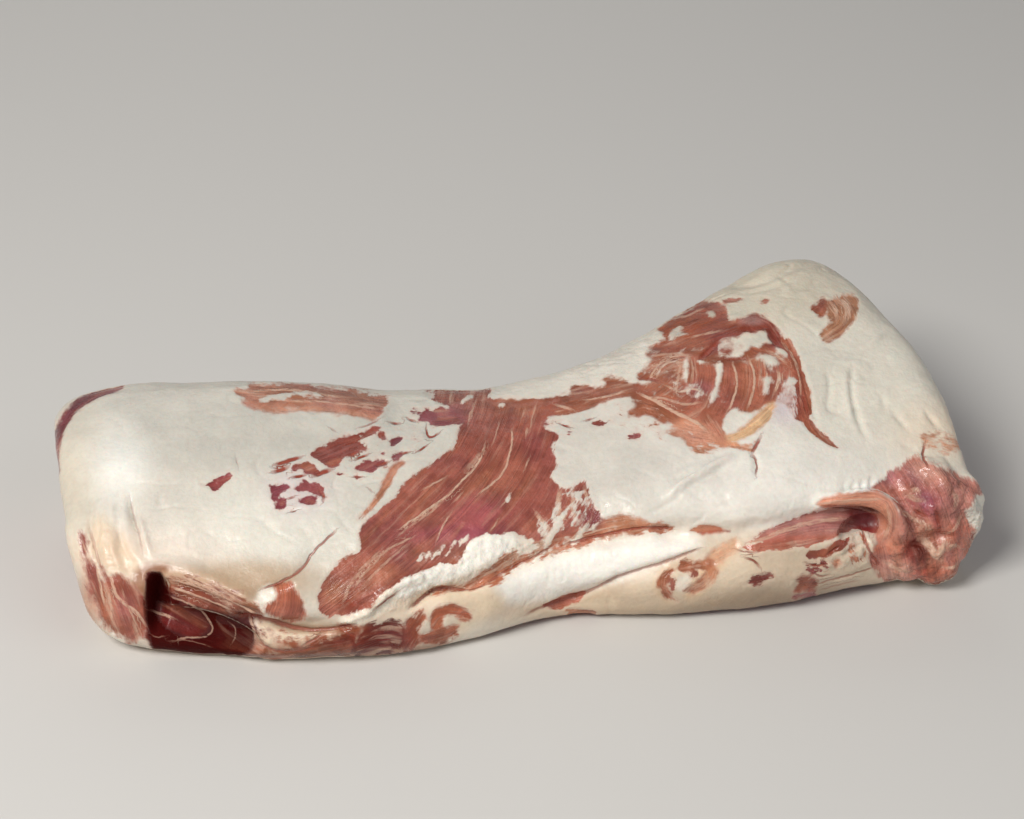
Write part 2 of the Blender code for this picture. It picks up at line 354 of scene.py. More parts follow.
# Each patch of lean: its tone, how streaky it is, how ragged its edge, its grain and its outline.
frontLean = {
    "loin": leanPatch("loin", 0.22, 1.0, [(520, 380), (508, 430), (484, 474), (446, 514), (396, 562),
        (340, 606)], [
        (426, 393), (431, 388), (447, 385), (481, 386), (493, 390), (487, 397), (491, 401), (505, 400),
        (520, 399), (540, 400), (560, 400), (556, 414), (546, 420), (541, 429), (559, 433), (557, 441),
        (551, 449), (558, 461), (550, 475), (557, 485), (572, 488), (584, 477), (589, 490), (593, 508),
        (602, 515), (595, 526), (581, 535), (556, 542), (520, 537), (514, 530), (500, 534), (483, 533),
        (472, 540), (464, 550), (456, 567), (447, 561), (424, 571), (399, 580), (385, 592), (370, 607),
        (351, 615), (339, 613), (326, 619), (316, 605), (324, 578), (347, 556), (362, 550), (359, 538),
        (362, 523), (391, 502), (402, 485), (415, 475), (440, 458), (452, 449), (457, 441), (458, 431),
        (466, 421), (452, 408), (436, 402)], soft=0.45),
    "loinPurple": leanPatch("purple", 0.3, 1.3, [(406, 412), (436, 414), (470, 408)], [
        (408, 408), (424, 409), (440, 407), (456, 404), (466, 414), (464, 423), (448, 426), (431, 426),
        (426, 418), (414, 414)], cap=1.2),
    "loinDeep": leanPatch("purple", 0.1, 1.0, [(532, 430), (530, 466)], [
        (524, 434), (536, 430), (546, 444), (542, 462), (528, 466), (520, 450)]),
    "loinSheen": leanPatch("plum", 0.25, 1.0, [(484, 494), (464, 524), (424, 552)], [
        (470, 498), (486, 492), (494, 508), (486, 530), (466, 540), (430, 556), (420, 548), (446, 530)]),
    "bridge": leanPatch("brown", 0.9, 1.0, [(536, 412), (580, 402), (620, 390), (664, 386)], [
        (540, 399), (560, 396), (573, 394), (570, 387), (578, 384), (602, 387), (606, 383), (601, 379),
        (611, 376), (630, 381), (646, 384), (660, 384), (652, 394), (632, 396), (606, 400), (592, 408),
        (574, 413), (552, 417), (536, 420)], soft=0.7),
    "bridgeTop": leanPatch("orange", 0.7, 1.1, [(494, 404), (548, 404)], [
        (494, 402), (508, 397), (524, 400), (536, 398), (548, 403), (540, 414), (512, 412),
        (496, 408)], cap=0.6),
    "ham": leanPatch("ham", 0.9, 0.9, [(640, 396), (668, 350), (716, 322), (770, 330), (800, 390)], [
        (630, 388), (640, 381), (636, 376), (643, 367), (652, 360), (644, 352), (655, 343), (668, 338),
        (660, 331), (672, 318), (690, 308), (702, 300), (717, 302), (724, 308), (728, 318), (740, 321),
        (752, 314), (762, 315), (772, 322), (783, 334), (791, 345), (801, 365), (807, 385), (812, 402),
        (809, 416), (802, 422), (794, 416), (784, 400), (774, 402), (766, 404), (757, 410), (750, 413),
        (742, 411), (735, 407), (724, 416), (722, 430), (730, 442), (712, 446), (692, 436), (672, 424),
        (656, 412), (640, 402), (628, 396)], soft=0.8, base=-14.0),
    "hamTop": leanPatch("rust", 0.55, 1.1, [(652, 348), (690, 330), (736, 316)], [
        (657, 328), (666, 321), (685, 312), (702, 300), (717, 303), (727, 309), (724, 320), (740, 323),
        (740, 333), (722, 339), (712, 346), (700, 352), (684, 352), (664, 355), (646, 351), (652, 344),
        (664, 342), (678, 339), (668, 336), (662, 333)], shade=0.22, soft=0.8),
    "hamCorner": leanPatch("cut", 0.7, 0.9, [(738, 330), (760, 320), (780, 344)], [
        (738, 332), (742, 322), (750, 314), (762, 314), (772, 321), (778, 332), (782, 345), (772, 343),
        (767, 330), (754, 328)], shade=0.16, soft=0.8),
    "hamSlit": leanPatch("slit", 0.0, 0.4, [(700, 357), (724, 340)], [
        (700, 357), (704, 350), (714, 343), (724, 339), (723, 343), (714, 348), (706, 355)]),
    "hamLeft": leanPatch("rust", 0.8, 0.9, [(632, 388), (652, 374), (668, 362), (688, 356)], [
        (630, 388), (640, 381), (636, 376), (643, 367), (652, 365), (649, 359), (664, 353), (684, 352),
        (688, 362), (684, 380), (684, 394), (668, 400), (650, 396), (634, 394)], soft=0.8),
    "hamMiddle": leanPatch("streaky", 0.6, 0.9, [(698, 354), (700, 380), (690, 404), (660, 408)], [
        (688, 351), (694, 356), (704, 362), (715, 366), (716, 380), (712, 398), (704, 411), (696, 416),
        (682, 411), (662, 405), (652, 394), (672, 396), (686, 392), (688, 376)], soft=0.8),
    "hamBrow": leanPatch("brown", 1.0, 1.2, [(700, 360), (760, 358)], [
        (700, 362), (704, 356), (722, 353), (746, 354), (758, 357), (750, 363), (730, 364),
        (712, 363)], cap=0.5, soft=0.8),
    "hamPatch": leanPatch("rust", 0.7, 0.9, [(750, 348), (790, 358)], [
        (750, 350), (758, 343), (768, 346), (780, 352), (790, 354), (788, 362), (772, 356),
        (758, 356)], soft=0.8),
    "hamFingerA": leanPatch("streaky", 0.4, 0.8, [(731, 358), (730, 390), (712, 422)], [
        (724, 362), (737, 362), (738, 390), (733, 402), (722, 416), (712, 416), (713, 404), (718, 392),
        (722, 378)], soft=0.8),
    "hamFingerB": leanPatch("streaky", 0.4, 0.8, [(746, 358), (748, 388), (738, 416)], [
        (739, 362), (752, 360), (756, 384), (753, 403), (745, 412), (736, 410), (740, 394),
        (739, 378)], soft=0.8),
    "hamFingerC": leanPatch("streaky", 0.5, 0.9, [(766, 354), (768, 384), (752, 414)], [
        (753, 356), (768, 357), (781, 364), (792, 362), (800, 372), (801, 386), (792, 382), (786, 389),
        (781, 399), (769, 401), (758, 411), (752, 409), (758, 396), (757, 380)], soft=0.8),
    "hamRim": leanPatch("rust", 0.6, 0.6, [(784, 338), (800, 366), (808, 400), (816, 428), (842, 449)], [
        (782, 338), (789, 337), (798, 353), (805, 373), (811, 391), (813, 412), (808, 416), (818, 427),
        (830, 440), (842, 449), (828, 444), (812, 433), (802, 422), (800, 404), (797, 390), (790, 370),
        (786, 352)]),
    "hamHem": leanPatch("orange", 0.7, 1.3, [(662, 430), (700, 440), (754, 446)], [
        (664, 432), (671, 425), (688, 423), (702, 430), (716, 436), (731, 442), (746, 444), (759, 438),
        (753, 452), (742, 449), (725, 445), (712, 449), (700, 453), (688, 446), (684, 438),
        (672, 436)], cap=0.55, soft=0.8),
    "hamHemStreak": leanPatch("streaky", 0.6, 0.9, [(706, 410), (726, 444)], [
        (704, 412), (710, 412), (720, 424), (728, 438), (722, 444), (714, 430)], soft=0.8),
    "hamWing": leanPatch("brown", 0.8, 1.2, [(628, 410), (650, 406), (680, 424)], [
        (626, 415), (638, 405), (631, 400), (644, 399), (658, 404), (664, 412), (678, 420), (668, 425),
        (658, 419), (648, 414), (638, 417)], cap=0.8, soft=0.8),
    "hamBand": leanPatch("amber", 0.4, 0.7, [(780, 398), (752, 426), (722, 440)], [
        (772, 400), (781, 404), (771, 417), (757, 431), (742, 440), (728, 441), (722, 435), (736, 433),
        (748, 423), (760, 410)], soft=0.8),
    "veilRight": leanPatch("purple", 0.0, 1.4, [(548, 426), (574, 428)], [
        (548, 420), (560, 420), (574, 424), (570, 434), (558, 434), (548, 430)], cap=-0.8),
    "veilHem": leanPatch("brown", 0.0, 1.8, [(600, 406), (690, 440)], [
        (600, 404), (630, 398), (650, 414), (680, 424), (690, 444), (664, 440), (640, 426),
        (616, 424)], cap=-1.25),
    "spotRight": leanPatch("cut", 0.0, 1.3, [(589, 424), (609, 421)], [
        (589, 424), (600, 421), (609, 420), (606, 424), (594, 426)]),
    "topMuscle": leanPatch("tan", 0.9, 1.2, [(232, 392), (300, 394), (392, 406)], [
        (233, 391), (247, 389), (250, 381), (263, 384), (285, 382), (301, 385), (319, 385), (345, 388),
        (370, 394), (389, 395), (388, 401), (380, 415), (374, 418), (358, 413), (336, 409), (319, 407),
        (294, 407), (263, 408), (250, 404), (243, 398)], soft=0.7),
    "spotLeft": leanPatch("purple", 0.1, 0.8, [(190, 486), (236, 472)], [
        (197, 483), (209, 483), (218, 476), (233, 473), (230, 480), (220, 486), (214, 492), (209, 487)]),
    "topMuscleEdge": leanPatch("paleTan", 0.7, 1.2, [(240, 400), (300, 406), (380, 418)], [
        (240, 396), (262, 403), (294, 403), (330, 403), (360, 411), (378, 415), (374, 420), (340, 413),
        (300, 410), (262, 412), (244, 405)], soft=1.1, cap=0.8),
    "speckleVeil": leanPatch("purple", 0.0, 1.7, [(290, 474), (410, 436)], [
        (290, 470), (318, 452), (340, 436), (376, 428), (412, 428), (424, 440), (408, 458), (392, 474),
        (364, 478), (338, 470), (320, 474), (300, 476)], cap=-1.15),
    "ringVeil": leanPatch("purple", 0.0, 1.7, [(270, 494), (326, 490)], [
        (270, 482), (286, 478), (306, 478), (326, 484), (326, 500), (310, 508), (284, 509),
        (272, 500)], cap=-1.0),
    "orangeStreak": leanPatch("paleTan", 0.2, 0.7, [(404, 460), (386, 486), (359, 520)], [
        (401, 460), (406, 463), (398, 470), (388, 487), (383, 497), (368, 514), (360, 521), (358, 518),
        (365, 510), (378, 493), (382, 483), (391, 466)], soft=0.7),
    "leftRim": leanPatch("rim", 0.3, 0.7, [(52, 480), (58, 434), (80, 404), (124, 388)], [
        (48, 452), (54, 430), (66, 410), (80, 396), (98, 386), (122, 383), (124, 390), (104, 395),
        (88, 402), (76, 411), (68, 422), (62, 436), (59, 452), (59, 478), (52, 480)], soft=0.7),
    "lobe": leanPatch("lobe", 0.6, 1.1, [(284, 576), (290, 600), (282, 624)], [
        (277, 599), (278, 590), (273, 585), (282, 582), (292, 580), (297, 592), (306, 608), (306, 618),
        (298, 624), (284, 622), (273, 617), (263, 610), (266, 603)], soft=1.1),
    "cornerFan": leanPatch("corner", 1.05, 1.5, [(92, 545), (108, 585), (122, 622), (134, 650)], [
        (92, 562), (102, 566), (110, 576), (120, 574), (134, 586), (148, 600), (151, 630), (138, 640),
        (122, 646), (108, 634), (98, 614), (88, 590), (82, 560), (78, 530), (84, 534),
        (88, 552)], soft=1.8),
    # The cavity: dark red lean with painted shade laid over it, through its tone deep.
    "cavity": leanPatch("deep", 0.2, 0.9, [(150, 590), (190, 622), (256, 640)], [
        (145, 574), (152, 571), (163, 573), (166, 588), (180, 599), (198, 607), (220, 612), (242, 617),
        (254, 626), (257, 640), (250, 656), (224, 664), (171, 658), (146, 650), (146, 594)], soft=0.7),
    "cavityTongue": leanPatch("tongue", 0.5, 0.9, [(156, 602), (184, 618), (212, 634)], [
        (156, 600), (166, 604), (190, 604), (206, 616), (212, 630), (196, 640), (176, 634),
        (158, 622)], soft=0.8, base=9.0, lit=0.75),
    "cavityStrands": leanPatch("strandBrown", 1.35, 2.2, [(166, 574), (206, 590), (262, 614)], [
        (166, 576), (180, 574), (204, 581), (230, 592), (254, 602), (264, 614), (258, 625), (238, 622),
        (214, 615), (196, 610), (179, 603), (165, 591)], soft=1.6, cap=1.6),
    "cavityShelf": leanPatch("beltDark", 0.5, 1.4, [(190, 606), (220, 614), (252, 622)], [
        (192, 608), (206, 606), (226, 613), (246, 618), (252, 626), (238, 628), (220, 622),
        (206, 618)], soft=0.9, base=3.0, lit=0.18),
    "cavityWall": leanPatch("cavityWall", 0.8, 1.6, [(206, 612), (230, 630), (256, 648)], [
        (214, 616), (230, 620), (246, 624), (254, 634), (254, 648), (244, 656), (226, 654), (214, 646),
        (218, 632)], soft=1.4, base=8.0, lit=0.18),
    # The belt under the overhang: dark red lean, partly painted shade.
    "belt": leanPatch("beltDark", 0.5, 1.6, [(150, 650), (250, 652), (350, 630)], [
        (150, 634), (172, 640), (200, 646), (228, 632), (240, 618), (252, 616), (258, 630), (256, 646),
        (262, 654), (290, 650), (318, 644), (340, 634), (358, 630), (356, 660), (300, 676), (240, 676),
        (180, 664), (150, 652)], soft=0.9),
    "lowerRoll": leanPatch("amberBrown", 1.2, 2.0, [(252, 642), (290, 652), (330, 634)], [
        (254, 640), (262, 646), (280, 649), (298, 648), (312, 642), (326, 632), (328, 638), (318, 648),
        (304, 655), (284, 657), (264, 654), (254, 648)], soft=1.4),
    "lowerRollStripe": leanPatch("amberBrown", 1.3, 2.0, [(334, 628), (352, 634), (368, 630)], [
        (334, 626), (346, 624), (354, 628), (370, 626), (364, 636), (352, 646), (346, 640),
        (340, 634)], soft=1.4, cap=1.0),
    "ridgeStreaks": leanPatch("amberBrown", 0.6, 2.4, [(250, 628), (286, 642), (330, 630)], [
        (258, 630), (272, 630), (290, 634), (308, 634), (318, 630), (316, 642), (298, 648), (276, 648),
        (260, 642)], soft=1.8, cap=-0.7),
    "ridgeStreaksRight": leanPatch("amberBrown", 0.6, 2.4, [(312, 654), (330, 640), (344, 626)], [
        (318, 640), (328, 630), (340, 630), (342, 642), (334, 656), (318, 656)], soft=1.8, cap=-0.7),
    "bellyLean": leanPatch("beltDark", 1.2, 2.2, [(352, 642), (384, 630), (412, 634)], [
        (356, 638), (362, 628), (374, 622), (390, 620), (402, 621), (408, 630), (406, 640), (398, 652),
        (372, 657), (350, 656)], shade=0.16, soft=1.0),
    "bellySide": leanPatch("rust", 1.1, 1.8, [(404, 640), (414, 626), (424, 612)], [
        (404, 622), (414, 614), (424, 612), (426, 620), (418, 628), (422, 640), (412, 650),
        (402, 652)], soft=1.2),
    "ringLean": leanPatch("rust", 0.6, 1.3, [(430, 626), (440, 612), (470, 616)], [
        (430, 622), (432, 613), (442, 605), (456, 604), (466, 608), (471, 618), (464, 620), (452, 616),
        (444, 618), (442, 627), (432, 630)], soft=1.1),
    "ringLow": leanPatch("rust", 0.7, 1.5, [(418, 640), (440, 634), (460, 626)], [
        (420, 632), (434, 631), (446, 627), (456, 624), (460, 632), (450, 640), (440, 645),
        (420, 645)], soft=0.9),
    "creaseLean": leanPatch("creaseWarm", 1.25, 2.0, [(440, 596), (480, 582), (516, 562), (560, 545),
        (640, 528), (680, 526)], [
        (424, 594), (444, 587), (463, 586), (476, 579), (488, 568), (502, 558), (518, 550), (536, 543),
        (552, 538), (566, 534), (580, 532), (600, 528), (628, 524), (650, 523), (676, 526), (674, 531),
        (650, 531), (628, 534), (606, 539), (584, 545), (560, 553), (540, 560), (516, 570), (500, 580),
        (486, 587), (466, 591), (444, 592)], soft=0.9, cap=1.1),
    "creaseLeanTop": leanPatch("orange", 0.5, 1.0, [(590, 532), (616, 522), (652, 524)], [
        (592, 530), (602, 521), (616, 515), (628, 517), (642, 520), (652, 525), (630, 530),
        (606, 535)], soft=1.3, cap=1.0),
    "secondCrease": leanPatch("loinWarm", 0.4, 1.0, [(540, 608), (592, 590)], [
        (540, 607), (556, 600), (566, 596), (590, 591), (580, 600), (570, 606), (556, 611)]),
    "secondCreaseLow": leanPatch("orange", 0.4, 1.0, [(564, 614), (598, 612)], [
        (564, 610), (576, 609), (598, 611), (588, 617), (572, 617)]),
    "eyeTail": leanPatch("peach", 0.8, 1.0, [(698, 566), (738, 542)], [
        (700, 562), (712, 553), (722, 544), (734, 539), (739, 545), (731, 554), (718, 562),
        (704, 570)], soft=2.2, cap=0.5),
    "secondLine": leanPatch("red", 0.2, 0.8, [(696, 533), (732, 531)], [
        (696, 532), (704, 531), (712, 528), (724, 529), (732, 532), (718, 533), (706, 535)], soft=0.8),
    "eyeRing": leanPatch("amberBrown", 0.4, 1.1, [(676, 568), (662, 582), (676, 602)], [
        (657, 584), (661, 576), (667, 570), (675, 569), (671, 577), (667, 584), (669, 592), (674, 598),
        (680, 601), (672, 602), (663, 597)], soft=0.9),
    "eyeLace": leanPatch("plum", 0.2, 1.8, [(674, 574), (671, 590)], [
        (671, 575), (676, 576), (674, 584), (673, 590), (668, 587), (668, 580)], cap=0.2),
    "eyeTop": leanPatch("rust", 0.7, 1.4, [(678, 568), (700, 564), (718, 558)], [
        (679, 570), (681, 563), (688, 560), (692, 566), (700, 561), (708, 556), (716, 559), (714, 568),
        (706, 572), (698, 569), (690, 573), (684, 572)], soft=0.9),
    "eyeSpot": leanPatch("plum", 0.4, 1.4, [(696, 567), (693, 580)], [
        (690, 575), (694, 568), (700, 570), (698, 578), (693, 579)], soft=0.6),
    "eyeRim": leanPatch("orange", 0.8, 1.2, [(714, 562), (708, 582), (684, 594)], [
        (708, 566), (715, 564), (717, 574), (711, 584), (702, 592), (690, 595), (684, 590), (694, 584),
        (702, 578)], soft=1.5, cap=0.9),
    "shoulderStreak": leanPatch("tan", 0.3, 1.6, [(722, 301), (768, 299)], [
        (722, 300), (732, 297), (744, 298), (736, 302), (726, 303)], soft=0.9),
    "shoulderStreakEnd": leanPatch("rust", 0.3, 1.2, [(722, 301), (768, 299)], [
        (761, 300), (764, 297), (769, 298), (768, 302), (762, 302)], soft=0.7),
    "arrow": leanPatch("rust", 0.4, 0.9, [(812, 312), (828, 302)], [
        (811, 308), (822, 296), (828, 300), (828, 312), (822, 319), (814, 313)], soft=0.7),
    "hook": leanPatch("hook", 1.2, 1.2, [(834, 296), (846, 310), (848, 324), (822, 342)], [
        (826, 301), (836, 296), (848, 294), (858, 297), (858, 311), (853, 323), (846, 331), (836, 339),
        (824, 343), (819, 334), (826, 328), (833, 324), (828, 316), (826, 308)], soft=0.9),
    "midSpot": leanPatch("plum", 0.0, 0.9, [(626, 438), (642, 437)], [
        (627, 436), (640, 434), (641, 438), (630, 439)]),
    "smallLean": leanPatch("orange", 0.4, 1.0, [(686, 531), (724, 529)], [
        (686, 530), (704, 525), (724, 527), (722, 532), (704, 534)]),
    "foldLean": leanPatch("sheen", 0.7, 1.0, [(738, 542), (790, 522), (836, 516), (880, 526)], [
        (738, 545), (762, 532), (793, 519), (822, 509), (857, 508), (877, 520), (876, 531), (862, 529),
        (830, 536), (796, 537), (764, 542)]),
    "foldLeanLow": leanPatch("loinWarm", 0.9, 0.9, [(738, 549), (790, 544), (846, 530)], [
        (739, 546), (764, 540), (796, 536), (828, 534), (846, 530), (830, 541), (798, 549), (768, 551),
        (750, 551)]),
    "foldFringe": leanPatch("cut", 0.6, 1.3, [(806, 557), (852, 539)], [
        (806, 555), (822, 549), (838, 541), (852, 538), (842, 550), (826, 557), (812, 559)]),
    "foldBlush": leanPatch("orange", 0.6, 1.8, [(848, 540), (864, 562)], [
        (846, 540), (860, 534), (868, 546), (864, 562), (850, 560)], cap=-0.35),
    "lip": leanPatch("lip", 0.6, 0.5, [(812, 504), (850, 499), (884, 498), (893, 520), (880, 552)], [
        (814, 502), (836, 495), (857, 491), (882, 491), (898, 504), (902, 524), (894, 546), (880, 548),
        (874, 536), (880, 522), (873, 513), (857, 508), (836, 508), (822, 509)], soft=0.9),
    "foldHollow": leanPatch("hollow", 0.0, 0.8, [(846, 516), (878, 526)], [
        (846, 510), (857, 508), (875, 514), (879, 526), (875, 534), (862, 532), (850, 524)], shade=0.24),
    "flapWhole": leanPatch("flesh", 0.15, 1.3, [(884, 470), (916, 520), (930, 590)], [
        (868, 489), (884, 478), (904, 464), (920, 454), (931, 464), (944, 468), (960, 476), (976, 480),
        (990, 498), (990, 530), (978, 552), (966, 578), (941, 596), (906, 592), (880, 580), (868, 560),
        (874, 542), (894, 536), (900, 516), (894, 500), (880, 491)], soft=1.0),
    "flapCrease": leanPatch("red", 0.1, 0.8, [(932, 496), (942, 532)], [
        (930, 496), (937, 502), (944, 516), (945, 530), (938, 528), (934, 514)], shade=0.3, soft=1.2),
    "flapPit": leanPatch("pit", 0.0, 1.1, [(904, 542), (928, 564)], [
        (905, 543), (914, 537), (926, 541), (932, 552), (927, 563), (914, 566),
        (905, 558)], shade=0.36, soft=1.4),
    "redTip": leanPatch("orange", 0.9, 1.9, [(920, 440), (962, 450)], [
        (922, 436), (946, 434), (962, 444), (958, 452), (940, 450), (926, 446)], cap=-0.2, soft=1.8),
    "underA": leanPatch("cut", 0.5, 1.4, [(747, 582), (773, 577)], [
        (746, 583), (753, 579), (751, 576), (762, 576), (770, 574), (774, 577), (769, 582), (757, 585),
        (750, 585)], soft=0.6),
    "underB": leanPatch("rust", 0.9, 1.5, [(792, 586), (820, 583)], [
        (794, 590), (796, 580), (804, 575), (816, 578), (818, 586), (812, 592), (800, 592)], soft=1.1),
    "underE": leanPatch("purple", 0.3, 1.2, [(792, 597), (816, 594)], [
        (792, 596), (804, 593), (816, 593), (812, 597), (798, 599)], soft=0.8, cap=0.4),
    "underC": leanPatch("amberBrown", 0.5, 1.5, [(808, 556), (840, 546)], [
        (808, 553), (822, 552), (826, 546), (834, 543), (842, 544), (836, 552), (828, 556),
        (812, 558)], soft=0.9),
    "underF": leanPatch("orange", 0.2, 1.0, [(832, 562), (842, 562)], [
        (832, 561), (838, 558), (842, 563), (836, 567)], soft=1.0),
    "underD": leanPatch("purple", 0.2, 1.6, [(806, 566), (828, 566)], [
        (806, 562), (822, 560), (828, 568), (818, 574), (808, 572)], cap=-0.5),
}

# Small specks of lean: outline and tone.
frontSpecks = [
    ([(312, 455), (320, 446), (330, 440), (341, 435), (350, 436), (364, 431), (374, 428), (376, 431),
        (364, 437), (358, 440), (368, 442), (368, 449), (350, 450), (343, 454), (341, 464), (333, 467),
        (321, 462)], "speck"),
    ([(291, 470), (300, 462), (306, 459), (313, 464), (320, 470), (319, 474), (308, 473),
        (301, 467)], "speck"),
    ([(273, 486), (281, 482), (290, 483), (290, 488), (280, 491), (277, 496), (273, 500),
        (271, 492)], "speckPurple"),
    ([(296, 487), (304, 480), (309, 485), (321, 486), (323, 493), (314, 493), (306, 490),
        (297, 490)], "speck"),
    ([(303, 499), (312, 494), (317, 500), (321, 506), (309, 505), (298, 502)], "speckPurple"),
    ([(278, 502), (282, 497), (287, 501), (283, 507), (278, 507)], "speckPurple"),
    ([(355, 468), (366, 460), (377, 459), (386, 461), (377, 467), (373, 474), (362, 470)], "speckPurple"),
    ([(391, 441), (398, 438), (403, 439), (395, 445), (391, 446)], "speckPurple"),
    ([(377, 436), (382, 433), (389, 434), (384, 438)], "speck"),
    ([(391, 456), (399, 450), (404, 452), (399, 459), (393, 460)], "speckPurple"),
    ([(420, 414), (430, 412), (436, 416), (428, 420), (421, 419)], "speckPurple"),
]
speckGrain = [(270, 486), (400, 432)]
for index, (outline, toneName) in enumerate(frontSpecks):
    frontLean["speck%d" % index] = leanPatch(toneName, 0.2, 1.7, speckGrain, outline, soft=0.5, lift=0.4)

# Islands of fat in the lean.
frontFat = {
    "cornerWhite": [(100, 624), (108, 628), (120, 634), (130, 641), (130, 650), (108, 650), (96, 634)],
    "cornerGap": [(92, 548), (98, 552), (103, 566), (104, 580), (99, 578), (95, 564)],
    "hamSmall": [(707, 312), (712, 310), (717, 313), (714, 317), (708, 316)],
    "hamSlantA": [(667, 336), (672, 329), (680, 324), (682, 328), (676, 334), (669, 338)],
    "hamSlantB": [(674, 334), (684, 331), (692, 333), (684, 336), (676, 337)],
    "hamBitA": [(775, 345), (784, 348), (789, 355), (782, 355), (774, 350)],
    "hamBitB": [(752, 357), (762, 353), (774, 356), (781, 364), (776, 366), (766, 360), (756, 361)],
    "hamBitC": [(784, 380), (793, 376), (798, 382), (790, 386), (782, 388)],
    "hamLeftA": [(637, 380), (648, 378), (652, 381), (644, 384), (638, 383)],
    "hamUprightA": [(684, 356), (689, 355), (690, 372), (687, 384), (683, 380), (683, 366)],
    "hamStreak": [(717, 360), (724, 360), (722, 374), (719, 388), (714, 402), (706, 410), (709, 400),
        (715, 384)],
    "hamWhite": [(739, 337), (746, 332), (754, 333), (760, 329), (767, 331), (769, 338), (774, 343),
        (764, 343), (760, 348), (752, 344), (748, 350), (742, 350), (744, 344), (737, 342)],
    "hamBright": [(697, 359), (704, 360), (702, 363), (698, 362)],
    "hamUpright": [(765, 379), (770, 378), (769, 392), (764, 397), (762, 392)],
    "loinWhite": [(496, 402), (504, 401), (506, 405), (499, 407)],
    "loinTopA": [(462, 398), (472, 395), (472, 398), (464, 402), (461, 407)],
    "creaseIsland": [(515, 551), (525, 541), (538, 540), (542, 547), (533, 557), (521, 557)],
    "creaseCross": [(531, 563), (539, 551), (546, 538), (555, 524), (562, 511), (567, 513), (561, 528),
        (552, 542), (544, 554), (536, 565)],
    "creaseCrossB": [(571, 543), (578, 534), (586, 522), (589, 524), (581, 536), (574, 545)],
    "topStreak": [(259, 398), (277, 393), (301, 391), (323, 393), (323, 396), (301, 395), (278, 398),
        (260, 401)],
    "flapFork": [(923, 540), (927, 541), (932, 548), (937, 553), (940, 547), (941, 538), (944, 538),
        (944, 549), (939, 558), (935, 558), (928, 551)],
    "flapTip": [(972, 498), (982, 492), (992, 498), (990, 520), (984, 538), (974, 550), (970, 546),
        (974, 530), (966, 520)],
}

# Painted glints: small slanting slivers of white fat where wet highlights show on the lean, by their lower
# left corners.
glints = [
    (506, 499), (418, 560), (425, 557), (431, 559), (438, 554), (445, 556), (450, 549), (457, 548),
    (463, 541)]
for index, (left, top) in enumerate(glints):
    frontFat["glint%d" % index] = [(left, top), (left + 5, top - 8), (left + 7, top - 8), (left + 2, top + 1)]

# Lean half hidden under a thin, broken film of fat: outline, and how much of the lean is left showing.
frontFilm = {
    "loinVeil": ([(554, 492), (576, 490), (592, 486), (596, 504), (584, 524), (566, 534),
        (548, 526)], 0.15),
    "loinLeftTop": ([(420, 388), (436, 388), (438, 404), (424, 412), (404, 414), (406, 400)], -0.1),
    "loinEnd": ([(536, 512), (548, 512), (556, 530), (544, 540), (534, 532)], 0.2),
    "gristleEdge": ([(416, 552), (440, 548), (462, 540), (472, 534), (474, 544), (456, 556),
        (420, 566)], 1.0),
    "hamLilac": ([(780, 388), (796, 382), (801, 398), (799, 418), (790, 428), (774, 424),
        (772, 410)], -0.2),
    "hamNet": ([(682, 384), (696, 380), (706, 388), (702, 398), (686, 398)], -0.05),
    "hamKnots": ([(716, 336), (738, 334), (750, 344), (742, 358), (722, 360), (714, 350)], -0.25),
    "hamAll": ([(636, 386), (650, 350), (690, 340), (740, 352), (790, 352), (800, 396), (760, 404),
        (720, 404), (690, 408), (650, 400)], 1.0),
    "hamFringe": ([(640, 350), (690, 344), (700, 356), (688, 396), (650, 392), (632, 380)], 0.8),
}
